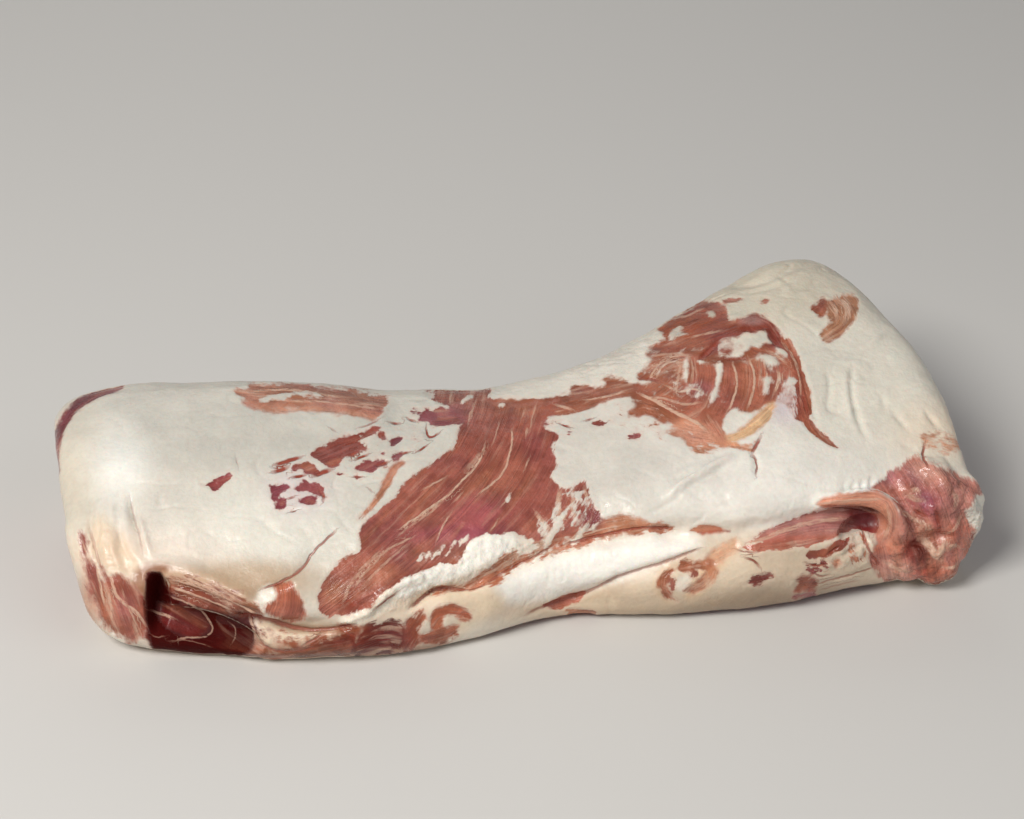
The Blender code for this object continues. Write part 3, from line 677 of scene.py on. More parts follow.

# Pale strands of gristle and fat through the lean, two of them painted highlights, and dark cuts and creases,
# the creases' dark partly painted shade: path, half width and strength.
frontStrands = {
    "loinMain": ([(485, 445), (480, 460), (472, 471), (460, 483), (446, 497), (401, 528)], 0.55, 1.0),
    "loinSecond": ([(512, 428), (512, 442), (508, 462), (502, 474), (493, 483), (478, 494)], 0.5, 0.8),
    "loinTick": ([(527, 427), (526, 436)], 0.45, 0.8),
    "loinTickB": ([(529, 459), (525, 469)], 0.45, 0.7),
    "loinLow": ([(450, 514), (441, 528), (437, 541)], 0.45, 0.8),
    "loinLeft": ([(446, 477), (423, 489)], 0.4, 0.7),
    "loinLeftB": ([(463, 492), (454, 501)], 0.4, 0.6),
    "loinRight": ([(509, 497), (501, 506)], 0.4, 0.6),
    "loinRightB": ([(498, 520), (491, 530)], 0.4, 0.7),
    "loinFar": ([(524, 410), (522, 416)], 0.5, 0.6),
    "loinTopB": ([(473, 403), (472, 416)], 0.4, 0.6),
    "loinEndA": ([(541, 518), (546, 526), (552, 532)], 0.9, 0.9),
    "hamSeam": ([(640, 393), (660, 402), (676, 412), (694, 420), (706, 430)], 0.8, 0.9),
    "bridgeSeam": ([(556, 404), (572, 409)], 0.6, 0.8),
    "bridgeSeamB": ([(584, 399), (606, 396), (626, 390)], 0.5, 0.7),
    "hamContourA": ([(650, 366), (666, 360), (680, 360), (678, 380), (674, 392)], 0.7, 0.6),
    "hamContourB": ([(652, 355), (668, 352), (686, 352), (694, 366), (692, 380)], 0.6, 0.5),
    "hamContourC": ([(768, 350), (780, 356), (786, 362)], 0.7, 0.7),
    "hamGapA": ([(733, 362), (738, 378), (735, 396), (728, 410)], 0.55, 0.9),
    "hamGapB": ([(749, 358), (755, 372), (754, 390), (748, 406)], 0.55, 0.9),
    "hamGapC": ([(764, 360), (767, 372), (766, 384)], 0.5, 0.7),
    "hamArchA": ([(656, 376), (662, 364), (674, 359), (684, 362)], 0.5, 0.8),
    "hamArchB": ([(646, 384), (655, 366), (668, 355), (688, 353)], 0.5, 0.7),
    "hamNetA": ([(666, 384), (680, 391), (694, 387), (706, 394)], 0.5, 0.8),
    "hamNetB": ([(652, 396), (668, 398), (684, 404), (700, 402)], 0.5, 0.6),
    "hamRimPale": ([(789, 348), (797, 364), (801, 384), (801, 400)], 0.45, 0.6),
    "hamTopA": ([(676, 318), (692, 314), (704, 308)], 0.5, 0.6),
    "hamTopB": ([(690, 336), (708, 332), (722, 330)], 0.5, 0.6),
    "hamRimPaleB": ([(784, 342), (792, 352), (798, 366)], 0.8, 0.8),
    "hamRightA": ([(774, 392), (780, 378), (778, 368)], 0.8, 0.9),
    "hamRightB": ([(786, 398), (790, 384), (789, 372)], 0.6, 0.7),
    "hookA": ([(838, 299), (846, 303), (849, 312), (845, 321)], 1.5, 0.9),
    "hookB": ([(832, 302), (836, 309), (837, 318)], 0.9, 0.8),
    "loinTail": ([(380, 552), (364, 566), (350, 584), (343, 604)], 0.8, 0.45),
    "loinTailB": ([(408, 544), (388, 560), (366, 582)], 0.6, 0.45),
    "creaseA": ([(440, 594), (470, 582), (500, 568), (528, 548)], 0.7, 0.8),
    "creaseB": ([(530, 562), (541, 545), (550, 534), (559, 524), (566, 512)], 1.2, 1.0),
    "creaseD": ([(478, 572), (497, 561), (514, 550), (530, 546)], 0.6, 0.9),
    "creaseE": ([(500, 570), (518, 560), (534, 554)], 0.5, 0.8),
    "creaseF": ([(580, 537), (600, 531), (622, 526)], 0.5, 0.7),
    "loinStar": ([(536, 512), (542, 520), (548, 530)], 1.0, 0.9),
    "loinOrangeA": ([(398, 536), (412, 524), (428, 514), (444, 500)], 0.5, 0.5),
    "loinOrangeB": ([(372, 566), (384, 552), (398, 544), (414, 536)], 0.5, 0.6),
    "loinOrangeC": ([(356, 586), (366, 570), (378, 560)], 0.6, 0.6),
    "loinUpper": ([(476, 400), (470, 412), (468, 424)], 0.4, 0.6),
    "loinUpperB": ([(500, 420), (496, 434), (492, 446)], 0.35, 0.5),
    "loinUpperC": ([(536, 404), (532, 416), (530, 430)], 0.4, 0.5),
    "loinBlur": ([(484, 452), (474, 462), (466, 470)], 1.4, 0.45),
    "creaseC": ([(560, 550), (574, 538), (590, 520)], 0.6, 0.7),
    "veilA": ([(560, 489), (558, 505), (562, 522)], 1.2, 0.8),
    "veilB": ([(574, 492), (572, 508), (576, 520)], 1.1, 0.7),
    "veilC": ([(584, 486), (588, 504)], 0.8, 0.6),
    "cornerA": ([(109, 572), (113, 588), (118, 600), (136, 612), (146, 626)], 0.7, 0.8),
    "cornerB": ([(108, 590), (110, 608), (112, 624)], 0.6, 0.7),
    "cornerC": ([(96, 560), (99, 584), (104, 606)], 0.6, 0.8),
    "cornerD": ([(126, 604), (134, 620), (138, 636)], 0.45, 0.6),
    "tongueRim": ([(151, 610), (162, 614), (174, 619)], 0.7, 0.8),
    "tongueLoop": ([(168, 595), (185, 602), (198, 609), (207, 617), (212, 625), (213, 631), (207, 636),
        (196, 638), (184, 637), (174, 642)], 0.45, 0.75),
    "cavityWiggleA": ([(228, 622), (235, 628), (236, 636), (232, 643)], 0.35, 0.55),
    "cavityWiggleB": ([(249, 620), (254, 630), (255, 643)], 0.7, 0.8),
    "cavityFloor": ([(168, 641), (184, 640), (200, 643), (212, 648)], 0.35, 0.5),
    "cavityFloorB": ([(150, 634), (156, 638), (166, 636)], 0.35, 0.5),
    "strandsA": ([(170, 580), (190, 584), (212, 592), (236, 604), (256, 616)], 0.6, 0.8),
    "strandsB": ([(172, 588), (190, 594), (210, 602), (230, 610)], 0.5, 0.8),
    "strandsC": ([(182, 578), (204, 585), (228, 596)], 0.5, 0.7),
    "topMuscleA": ([(250, 390), (280, 388), (310, 391), (340, 396)], 0.5, 0.7),
    "topMuscleB": ([(290, 400), (320, 400), (350, 404), (376, 408)], 0.5, 0.6),
    "membrane": ([(888, 506), (890, 522), (884, 540)], 0.8, 0.5),
    # Painted highlights along the lip and the fold, drawn as pale strands.
    "lipShine": ([(818, 504), (850, 500), (882, 499)], 0.7, 0.6),
    "foldShine": ([(748, 544), (790, 527), (822, 520), (842, 519)], 0.9, 0.6),
    "flapWhite": ([(921, 540), (929, 545), (933, 552), (940, 558)], 1.9, 1.0),
    "flapWhiteF": ([(939, 557), (943, 548), (947, 539)], 1.0, 0.9),
    "flapWhiteG": ([(946, 549), (953, 543), (960, 547)], 0.7, 0.8),
    "flapWhiteH": ([(944, 568), (952, 568), (958, 563)], 0.7, 0.8),
    "flapWhiteI": ([(910, 492), (916, 489), (919, 494)], 1.2, 0.7),
    "flapWhiteJ": ([(954, 492), (956, 500), (953, 508)], 1.0, 0.6),
    "flapWhiteK": ([(918, 520), (924, 522), (920, 528)], 0.8, 0.7),
    "flapWhiteB": ([(905, 494), (914, 500), (924, 500)], 1.3, 0.6),
    "flapWhiteC": ([(944, 534), (956, 526), (962, 516)], 0.8, 0.6),
    "flapWhiteD": ([(884, 562), (898, 570), (912, 572)], 0.9, 0.6),
    "flapWhiteE": ([(900, 508), (910, 518), (922, 522), (932, 530)], 0.8, 0.6),
}

frontCuts = {
    "creaseRed": ([(566, 544), (581, 540), (606, 535), (628, 530), (648, 528), (672, 529)], 0.55, 0.8),
    "creaseRedLow": ([(486, 582), (508, 570), (536, 556), (553, 546)], 0.5, 0.6),
    "creaseBrown": ([(427, 592), (449, 588), (474, 588), (488, 583)], 0.5, 0.6),
    "flapSlit": ([(912, 508), (920, 514), (928, 517)], 0.7, 0.8),
    "flapSlitB": ([(934, 508), (937, 517), (940, 526), (938, 534)], 0.8, 0.8),
    "flapSlitC": ([(908, 546), (917, 543), (926, 548)], 0.8, 0.8),
    "hamSlash": ([(702, 357), (709, 349), (716, 343), (723, 339)], 1.2, 1.0),
    "hamBandDark": ([(742, 330), (756, 328), (768, 325)], 1.0, 0.7),
    "hamCurl": ([(770, 334), (774, 341), (780, 345)], 1.0, 0.7),
    "hamRedA": ([(642, 377), (652, 377), (660, 380)], 0.8, 0.7),
    "hamNetDark": ([(726, 358), (738, 358), (748, 357)], 0.7, 0.7),
    "hamEdgeDark": ([(800, 390), (805, 400), (808, 414)], 0.8, 0.6),
    "knife": ([(262, 589), (285, 579), (303, 566), (312, 552), (336, 531)], 0.55, 0.8),
    "topCrease": ([(380, 419), (370, 424), (359, 427)], 0.4, 0.6),
    "lobeFold": ([(240, 617), (271, 623), (301, 630), (332, 630), (354, 625)], 0.8, 0.8),
    "ridgeFold": ([(412, 606), (420, 599), (428, 592), (445, 588), (466, 588)], 0.7, 0.8),
    "hamCrack": ([(761, 436), (756, 445), (752, 453)], 0.8, 0.9),
    "hamDark": ([(770, 328), (775, 336), (780, 345)], 0.8, 0.7),
    "shoulderCrack": ([(752, 452), (757, 459), (756, 475)], 0.5, 0.8),
    "rollCrease": ([(527, 615), (543, 608), (568, 599), (590, 592), (616, 578), (643, 569), (668, 562),
        (700, 549)], 0.7, 0.6),
    "tipCrease": ([(925, 444), (922, 456), (929, 468)], 0.6, 0.9),
    "underCrackA": ([(745, 558), (752, 560), (756, 563), (760, 568)], 0.6, 0.9),
    "underCrackE": ([(736, 549), (746, 552), (757, 553)], 0.4, 0.7),
    "underCrackF": ([(757, 553), (762, 549)], 0.6, 0.8),
    "underCrackG": ([(808, 564), (816, 567), (822, 564), (826, 567)], 0.7, 0.9),
    "underCrackH": ([(826, 556), (834, 551), (840, 545)], 0.6, 0.9),
    "underCrackI": ([(812, 573), (822, 577), (830, 575)], 0.4, 0.7),
    "ringSlit": ([(374, 609), (382, 603), (392, 596), (397, 592)], 0.8, 0.9),
    "beltLineA": ([(302, 646), (314, 640), (324, 633)], 0.6, 0.6),
    "beltLineB": ([(258, 640), (266, 648), (280, 652), (300, 652), (316, 648)], 0.6, 0.5),
    "beltLineC": ([(336, 628), (348, 634), (356, 638)], 0.6, 0.5),
    "underCrackB": ([(862, 530), (867, 548), (877, 562), (882, 566)], 0.6, 0.8),
    "underCrackC": ([(817, 584), (836, 579), (853, 574), (874, 567)], 0.4, 0.6),
    "underCrackD": ([(820, 590), (842, 584), (858, 580)], 0.4, 0.4),
    "lipEdge": ([(820, 508), (840, 507), (858, 508), (873, 513), (879, 524), (874, 535)], 0.5, 0.7),
    "dimple": ([(236, 458), (238, 466)], 0.45, 0.4),
    "cornerGroove": ([(89, 529), (94, 548), (99, 564), (107, 584)], 0.6, 0.4),
    "cornerGrooveB": ([(130, 497), (133, 516), (138, 533), (142, 550)], 0.5, 0.3),
    "redDotA": ([(331, 428), (334, 430)], 0.5, 0.8),
    "redDotB": ([(369, 489), (372, 491)], 0.5, 0.8),
}

# Short dark dashes beside the specks: path and half width.
frontDashes = [
    ([(275, 465), (287, 461), (301, 457)], 0.9),
    ([(273, 472), (280, 470), (288, 467)], 1.0),
    ([(292, 478), (299, 476), (306, 475)], 0.6),
    ([(314, 476), (322, 472), (331, 469)], 1.0),
    ([(347, 456), (352, 454), (357, 452)], 0.7),
    ([(355, 459), (361, 456), (368, 454)], 0.6),
    ([(344, 444), (352, 441), (358, 439)], 0.3),
    ([(354, 476), (363, 476)], 0.5),
    ([(391, 422), (400, 423)], 0.6),
    ([(408, 418), (415, 421)], 0.6),
    ([(426, 427), (427, 434), (430, 438), (439, 433)], 0.45),
    ([(417, 452), (422, 449), (428, 445)], 0.4),
    ([(321, 492), (324, 496), (323, 500)], 0.8),
    ([(378, 464), (389, 461)], 0.8),
    ([(400, 453), (410, 452)], 0.7),
    ([(288, 499), (294, 497)], 0.5),
    ([(290, 512), (297, 510)], 0.3),
    ([(586, 420), (592, 418)], 0.5),
    ([(560, 424), (570, 427)], 0.5),
]
for index, (path, half) in enumerate(frontDashes):
    frontCuts["dash%d" % index] = (path, half, 1.3)

# Raised folds and sunk grooves: path, half width and height in millimetres, before foldRise.
frontFolds = {
    "creaseTall": ([(852, 366), (851, 385), (853, 402), (860, 424), (866, 438)], 1.3, -0.8),
    "creaseTallRidge": ([(847, 372), (846, 400), (854, 426)], 1.8, 0.4),
    "ridgeUp": ([(862, 348), (874, 341), (884, 333)], 1.2, 0.7),
    "creaseFar": ([(924, 409), (932, 419), (941, 429)], 1.2, -0.7),
    "creaseMid": ([(892, 410), (900, 420), (909, 431)], 1.2, -0.6),
    "creaseSmall": ([(878, 392), (884, 400), (884, 412)], 1.2, -0.5),
    "arcRim": ([(826, 368), (831, 388), (826, 406), (836, 414), (846, 408)], 1.2, -0.6),
    "ridgeLong": ([(672, 490), (690, 478), (708, 468), (722, 461), (735, 456)], 1.1, 0.8),
    "ridgeLongLow": ([(676, 495), (694, 484), (712, 474), (729, 465)], 1.0, -0.8),
    "lens": ([(680, 474), (694, 468), (706, 463)], 1.5, 0.6),
    "lensEdge": ([(676, 480), (692, 474), (706, 468)], 0.9, -0.5),
    "tick": ([(648, 514), (664, 506), (678, 497)], 1.0, -0.5),
    "notchA": ([(843, 493), (845, 484)], 0.9, -1.0),
    "notchB": ([(852, 492), (854, 482)], 0.9, -1.0),
    "notchC": ([(862, 491), (862, 480)], 0.9, -1.1),
    "notchD": ([(870, 489), (872, 477)], 0.9, -1.1),
    "shoulderFoldB": ([(742, 292), (772, 288), (800, 276)], 1.4, -0.5),
    "shoulderFoldC": ([(800, 290), (812, 284), (822, 276)], 1.2, -0.4),
    "fluteA": ([(102, 504), (100, 522), (97, 544)], 1.1, -0.8),
    "fluteB": ([(112, 500), (112, 520), (117, 548)], 1.7, 0.8),
    "fluteC": ([(130, 496), (134, 522), (143, 538)], 1.1, -1.0),
    "fluteD": ([(160, 496), (159, 508)], 0.9, -0.9),
    "fluteE": ([(92, 498), (90, 520), (88, 544)], 1.0, -0.6),
    "fluteF": ([(118, 528), (123, 548), (134, 564)], 1.0, -0.8),
    "fluteG": ([(137, 516), (145, 538), (150, 554)], 1.5, 0.9),
    "fluteH": ([(106, 530), (108, 550), (114, 568)], 1.0, -0.7),
    "lipRoll": ([(150, 566), (166, 562), (192, 568), (226, 584), (256, 602)], 3.0, 0.8),
    "membraneA": ([(834, 548), (846, 541), (858, 534), (868, 531)], 1.1, 0.9),
    "membraneB": ([(838, 556), (852, 549), (866, 542)], 0.9, -0.9),
    "membraneC": ([(866, 533), (872, 548), (878, 560)], 1.0, 0.8),
    "membraneD": ([(862, 540), (866, 554), (872, 564)], 0.9, -0.8),
    "membraneE": ([(812, 560), (824, 566), (836, 564)], 1.2, 0.6),
    "cornerRidgeA": ([(101, 495), (104, 530), (112, 562)], 2.6, 0.8),
    "cornerGrooveA": ([(90, 520), (95, 548), (100, 566)], 1.6, -0.8),
    "cornerRidgeB": ([(122, 505), (127, 535), (138, 565)], 2.8, 0.9),
    "cornerGrooveB": ([(112, 520), (117, 545), (128, 572)], 1.6, -0.7),
    "cornerGrooveC": ([(130, 495), (136, 530), (144, 556)], 1.5, -0.7),
    "overCavity": ([(160, 572), (190, 578), (222, 592), (252, 606)], 3.2, 0.8),
    "strandGroove": ([(170, 584), (200, 592), (236, 606), (262, 614)], 1.2, -0.8),
    "strandGrooveB": ([(172, 594), (196, 600), (224, 612)], 1.0, -0.8),
    "lobeFold": ([(240, 617), (271, 623), (301, 630), (332, 630), (354, 625)], 1.4, -1.4),
    "knifeCut": ([(262, 589), (285, 579), (303, 566), (312, 552)], 1.0, -0.7),
    "gristleRidge": ([(340, 622), (366, 614), (384, 594), (404, 581), (428, 574)], 2.0, 1.1),
    "gristleFold": ([(370, 617), (387, 604), (398, 594)], 1.2, -0.35),
    "ridgeFold": ([(408, 610), (420, 600), (430, 591), (447, 588), (466, 588), (486, 578)], 1.2, -1.3),
    "rollCrease": ([(527, 615), (568, 599), (590, 592), (616, 578), (668, 562), (700, 549)], 1.2, -0.45),
    "shoulderFold": ([(727, 286), (762, 283), (788, 271), (813, 263)], 1.6, -0.7),
    "shoulderCrack": ([(752, 452), (757, 459), (756, 475)], 1.1, -0.9),
    "patchFold": ([(737, 452), (700, 474), (665, 498)], 2.2, 0.8),
    "hamRim": ([(776, 334), (794, 350), (804, 373), (811, 398), (817, 424)], 1.0, -0.6),
    "dimple": ([(236, 459), (238, 466)], 1.3, -0.6),
    "whiteGristle": ([(424, 556), (440, 552), (458, 552)], 1.6, 0.8),
}

for ripple in range(10):
    left = 548 + 7 * ripple
    top = 562 - 2.2 * ripple
    frontFolds["rollRipple%d" % ripple] = ([(left, top), (left + 2, top + 12), (left, top + 24)], 1.0, -0.22)
for ripple in range(8):
    start = 147 + 4.6 * ripple
    frontFolds["ripple%d" % ripple] = ([(start, 529), (start + 2, 540), (start + 1, 549 - ripple)], 0.8, -0.6)

# Slow changes of the fat's colour, some of them painted light and shade: a painted highlight on the left
# corner, and painted shade on the top and along the lower front. Each has its middle, reach across and up,
# and tone.
fatTone = (222, 214, 200)
frontFatToneAndPaintedLight = [
    (933, 549, 13, 12, (216, 168, 138)),
    (88, 602, 8, 26, (192, 144, 118)),
    (110, 642, 14, 8, (214, 186, 158)),
    # Painted shade on the top, where the fat faces away from the light.
    (260, 425, 190, 36, (194, 189, 178)),
    (150, 508, 46, 26, (208, 200, 188)),
    (80, 490, 26, 60, (210, 198, 178)),
    # Painted highlight on the left corner.
    (114, 470, 26, 34, (250, 248, 240)),
    (240, 520, 110, 26, (224, 219, 206)),
    (150, 545, 60, 24, (232, 216, 200)),
    # Painted shade above the cavity and on the lower front, in this zone and the next.
    (230, 578, 60, 14, (180, 152, 122)),
    (210, 592, 46, 12, (172, 136, 104)),
    (350, 500, 70, 40, (208, 202, 190)),
    (400, 600, 46, 16, (214, 192, 168)),
    # Painted shade along the lower front.
    (290, 638, 80, 12, (172, 140, 108)),
    (460, 600, 60, 16, (238, 218, 194)),
    (600, 560, 100, 18, (244, 230, 212)),
    # Painted shade on the lower roll.
    (600, 600, 90, 14, (200, 172, 140)),
    (640, 455, 90, 40, (210, 203, 192)),
    (780, 480, 100, 40, (238, 232, 222)),
    (770, 560, 100, 24, (214, 190, 162)),
    # Painted shade low on the front, near the floor.
    (800, 604, 110, 16, (150, 124, 98)),
    (880, 380, 90, 80, (218, 211, 196)),
    (760, 290, 90, 30, (208, 196, 174)),
    (940, 430, 40, 26, (236, 214, 188)),
    (300, 495, 26, 20, (222, 206, 208)),
    (786, 406, 14, 16, (206, 190, 196)),
    (108, 552, 30, 16, (228, 198, 168)),
]


# Where the lean is streakier: middle, reach across and up, and how much.
frontStreaks = [
    (418, 504, 44, 22, 0.65),
    (396, 552, 44, 22, 0.45),
    (348, 592, 24, 20, 0.55),
    (486, 394, 60, 9, 0.80),
    (524, 412, 24, 14, 0.40),
    (430, 400, 30, 12, 0.60),
    (540, 536, 30, 14, 0.60),
]

# Fat of another colour within an outline, some of it painted shade: tone, strength and softness of the edge
# in millimetres.
frontFatPatches = [
    ([(390, 592), (396, 580), (406, 571), (424, 566), (434, 556), (456, 555), (468, 546), (470, 534),
        (490, 530), (514, 534), (518, 546), (500, 556), (484, 562), (470, 572), (440, 582), (420, 592),
        (400, 600)], (250, 244, 232), 0.95, 1.6),
    ([(336, 622), (352, 606), (372, 590), (390, 580), (400, 590), (396, 606), (370, 618),
        (350, 628)], (240, 230, 212), 0.8, 1.6),
    ([(500, 580), (540, 562), (600, 546), (660, 534), (700, 534), (700, 548), (660, 562), (610, 582),
        (580, 594), (540, 602), (510, 604), (494, 594)], (252, 247, 238), 0.85, 4.0),
    ([(420, 592), (460, 590), (500, 588), (506, 604), (480, 622), (450, 640), (430, 640), (470, 612),
        (450, 604)], (226, 202, 170), 0.55, 3.0),
    # Painted shade on the lower roll under the crease.
    ([(540, 606), (600, 598), (650, 578), (700, 560), (740, 556), (760, 570), (740, 590), (680, 604),
        (600, 612), (550, 614)], (228, 208, 182), 0.6, 4.0),
    # Darker fat over the cavity's lip: its own tone, and painted shade.
    ([(158, 566), (190, 570), (222, 586), (252, 602), (250, 612), (222, 604), (190, 592),
        (160, 582)], (204, 168, 138), 0.8, 3.5),
    ([(88, 520), (104, 516), (124, 540), (144, 566), (146, 590), (126, 584), (104, 566),
        (92, 548)], (228, 202, 172), 0.6, 4.0),
    ([(256, 600), (260, 588), (272, 583), (280, 592), (276, 604), (266, 612),
        (256, 610)], (240, 232, 218), 0.9, 1.6),
    ([(128, 590), (132, 574), (143, 565), (158, 563), (172, 566), (168, 573), (150, 573), (148, 584),
        (148, 606), (138, 602)], (140, 78, 36), 0.8, 2.4),
    ([(107, 622), (116, 628), (128, 640), (124, 646), (112, 640)], (244, 238, 224), 0.8, 1.0),
    ([(256, 628), (264, 624), (280, 631), (300, 633), (316, 632), (310, 642), (298, 646), (276, 646),
        (260, 640)], (240, 222, 196), 0.7, 1.6),
    ([(320, 640), (328, 632), (338, 636), (338, 648), (326, 654), (318, 648)], (236, 214, 184), 0.7, 1.6),
    # Painted shadow along the bottom, where the lower front meets the floor, in this patch and the next.
    ([(254, 654), (280, 658), (306, 656), (330, 646), (334, 660), (290, 668),
        (254, 664)], (170, 120, 80), 0.7, 2.5),
    ([(344, 646), (372, 646), (404, 646), (430, 643), (446, 640), (446, 648), (420, 656), (384, 662),
        (344, 664)], (150, 104, 72), 0.8, 2.2),
    ([(676, 578), (690, 574), (694, 584), (684, 592), (674, 590)], (244, 232, 216), 0.8, 1.2),
    ([(700, 566), (716, 552), (734, 538), (742, 546), (722, 566), (704, 594), (684, 600),
        (690, 588)], (226, 184, 142), 0.7, 3.0),
    ([(652, 590), (656, 574), (668, 564), (680, 560), (690, 556), (696, 562), (676, 570), (662, 586),
        (672, 606)], (222, 184, 146), 0.6, 2.5),
    ([(838, 500), (850, 486), (874, 480), (886, 486), (878, 496), (858, 498)], (250, 246, 238), 0.8, 1.6),
]

# Changes of colour inside the lean, some of them painted shade in the pit, the pocket, the cavity and under
# the lower front: middle, reach across and up, tone and strength.
frontLeanZones = [
    (490, 402, 76, 16, (146, 82, 62), 0.75),
    (440, 416, 26, 12, (136, 62, 68), 0.75),
    (545, 450, 18, 26, (140, 74, 68), 0.60),
    (486, 512, 34, 20, (168, 86, 88), 0.75),
    (420, 500, 30, 14, (180, 108, 88), 0.40),
    (376, 572, 20, 16, (190, 122, 94), 0.45),
    (560, 550, 60, 12, (190, 118, 86), 0.40),
    (440, 545, 36, 18, (164, 96, 88), 0.50),
    (462, 536, 52, 11, (162, 78, 98), 0.60),
    (404, 560, 14, 10, (154, 78, 92), 0.55),
    (510, 474, 26, 22, (172, 102, 80), 0.50),
    (536, 530, 20, 12, (182, 106, 80), 0.55),
    (574, 538, 22, 12, (180, 104, 82), 0.60),
    (594, 520, 14, 12, (140, 70, 78), 0.70),
    (350, 590, 30, 24, (160, 92, 72), 0.60),
    (690, 324, 52, 24, (166, 78, 36), 0.90),
    (760, 326, 22, 12, (146, 66, 42), 0.70),
    (752, 320, 13, 5, (186, 140, 132), 0.80),
    (768, 360, 14, 5, (206, 160, 128), 0.75),
    (700, 387, 14, 7, (176, 110, 112), 0.60),
    (724, 332, 20, 8, (130, 52, 38), 0.80),
    (664, 374, 26, 20, (166, 106, 80), 0.60),
    (700, 390, 18, 12, (158, 90, 84), 0.50),
    (776, 372, 26, 22, (190, 116, 90), 0.65),
    (790, 400, 14, 26, (154, 92, 90), 0.60),
    (800, 390, 8, 40, (150, 72, 54), 0.60),
    (690, 436, 40, 16, (196, 140, 118), 0.75),
    (600, 396, 50, 10, (152, 92, 70), 0.50),
    (346, 460, 40, 16, (148, 78, 70), 0.60),
    (298, 490, 30, 18, (146, 76, 84), 0.60),
    (300, 394, 80, 12, (168, 114, 84), 0.60),
    (892, 472, 18, 12, (176, 108, 112), 0.80),
    (924, 502, 20, 15, (158, 84, 100), 0.85),
    (908, 478, 16, 10, (186, 116, 126), 0.70),
    (938, 521, 5, 12, (150, 44, 32), 0.85),
    (921, 514, 10, 4, (146, 50, 46), 0.75),
    # The flap's pit: its own dark red, and painted shade.
    (917, 551, 12, 12, (96, 6, 8), 0.98),
    (926, 572, 20, 8, (172, 72, 56), 0.80),
    (880, 548, 18, 7, (206, 122, 84), 0.70),
    (930, 470, 24, 12, (204, 150, 134), 0.85),
    (966, 492, 14, 20, (188, 130, 118), 0.85),
    (944, 520, 8, 18, (198, 134, 118), 0.70),
    (964, 498, 17, 20, (186, 122, 108), 0.70),
    (890, 530, 14, 24, (222, 158, 130), 0.75),
    (906, 552, 10, 12, (196, 98, 80), 0.60),
    (944, 486, 14, 8, (206, 140, 126), 0.60),
    (957, 531, 12, 9, (196, 104, 84), 0.75),
    (954, 554, 11, 10, (196, 124, 118), 0.70),
    (896, 570, 16, 12, (220, 176, 156), 0.70),
    (957, 560, 12, 14, (202, 130, 114), 0.60),
    (912, 520, 12, 12, (206, 138, 118), 0.50),
    (816, 522, 40, 8, (180, 120, 116), 0.70),
    # The pocket under the lip: its own dark red, and painted shade cast by the lip.
    (862, 520, 16, 12, (92, 4, 4), 0.95),
    (800, 540, 60, 6, (186, 102, 84), 0.60),
    (682, 578, 30, 20, (168, 104, 72), 0.60),
    # The cavity and the underside of the lower front: the lean's own dark red, and painted shade, in this
    # zone and the next two.
    (236, 632, 22, 20, (70, 14, 8), 0.92),
    (380, 640, 38, 14, (112, 22, 8), 0.94),
    (336, 644, 40, 7, (120, 40, 20), 0.70),
    (450, 618, 28, 14, (192, 104, 72), 0.80),
    (412, 630, 12, 14, (160, 78, 52), 0.70),
    (352, 604, 12, 8, (148, 60, 42), 0.70),
    (332, 592, 11, 14, (188, 124, 92), 0.60),
    (286, 652, 40, 8, (140, 80, 46), 0.60),
    (122, 608, 16, 14, (186, 112, 104), 0.60),
    (106, 604, 8, 22, (176, 96, 62), 0.60),
    (140, 618, 8, 18, (172, 104, 76), 0.50),
    (96, 590, 14, 36, (160, 90, 66), 0.60),
]

# Where the fat is lumpy, and how much.
lumpyFat = [
    ([(556, 368), (600, 356), (650, 326), (700, 296), (712, 312), (684, 340), (640, 372),
        (584, 388)], 0.3, 190.0),
    ([(832, 540), (850, 530), (872, 532), (884, 560), (868, 574), (836, 570), (816, 560)], 0.45, 190.0),
    ([(838, 494), (860, 486), (884, 484), (872, 474), (842, 478)], 0.3, 260.0),
    ([(340, 618), (364, 592), (384, 582), (420, 570), (452, 560), (470, 536), (512, 534), (540, 546),
        (508, 560), (480, 576), (430, 596), (390, 614), (350, 630)], 0.5, 300.0),
    ([(250, 606), (270, 584), (286, 584), (276, 604), (262, 622), (250, 622)], 0.35, 240.0),
    ([(480, 566), (540, 548), (600, 534), (640, 524), (640, 534), (600, 546), (540, 562),
        (490, 584)], 0.35, 300.0),
    ([(540, 500), (590, 488), (604, 516), (580, 536), (546, 530)], 0.25, 300.0),
]

# Where the torn flap is lumpy.
flapNodules = [
    (886, 486), (906, 466), (922, 462), (944, 472), (966, 480), (982, 498), (984, 524), (972, 548),
    (958, 574), (940, 588), (910, 584), (888, 574), (886, 548), (902, 524), (900, 500)]


def frontSpots(places):
    offset = places - cameraPlace()
    look = np.array((0.0, math.cos(shot["elevation"]), -math.sin(shot["elevation"])))
    rise = np.array((0.0, math.sin(shot["elevation"]), math.cos(shot["elevation"])))
    reach = shot["lens"] / shot["sensor"] * shot["width"]
    depth = offset @ look
    across = 0.5 * shot["width"] + reach * offset[:, 0] / depth
    down = 0.5 * shot["height"] - reach * (offset @ rise) / depth
    return np.stack([across, down], axis=1)


painting = {
    "farOff": 12.0,  # distance given where no lean is near, in millimetres
    "leanBase": 1e-4,  # weight of the plain lean tone under all others
    "fatBase": 0.12,
    "grainStep": 17.0,  # sets each patch's fibres apart in the noise
    "blend": 0.9,  # how fast one patch's tone gives way to the next, in millimetres
}


def emptyFinish(count):
    return {
        "lean": np.full(count, -painting["farOff"]), "streak": np.zeros(count), "ragged": np.full(count, 0.8),
        "soft": np.full(count, 0.4), "grain": np.zeros((count, 3)),
        "leanTint": np.zeros((count, 3)), "tintShare": np.full(count, painting["leanBase"]),
        "fatTint": np.zeros((count, 3)), "fatShare": np.full(count, painting["fatBase"]),
        "cut": np.zeros((count, 3)), "strand": np.zeros((count, 3)), "height": np.zeros(count),
        "deep": np.zeros(count), "nodules": np.zeros(count), "seam": np.zeros(count),
        "noduleSize": np.full(count, meatForm["noduleScale"]),
    }


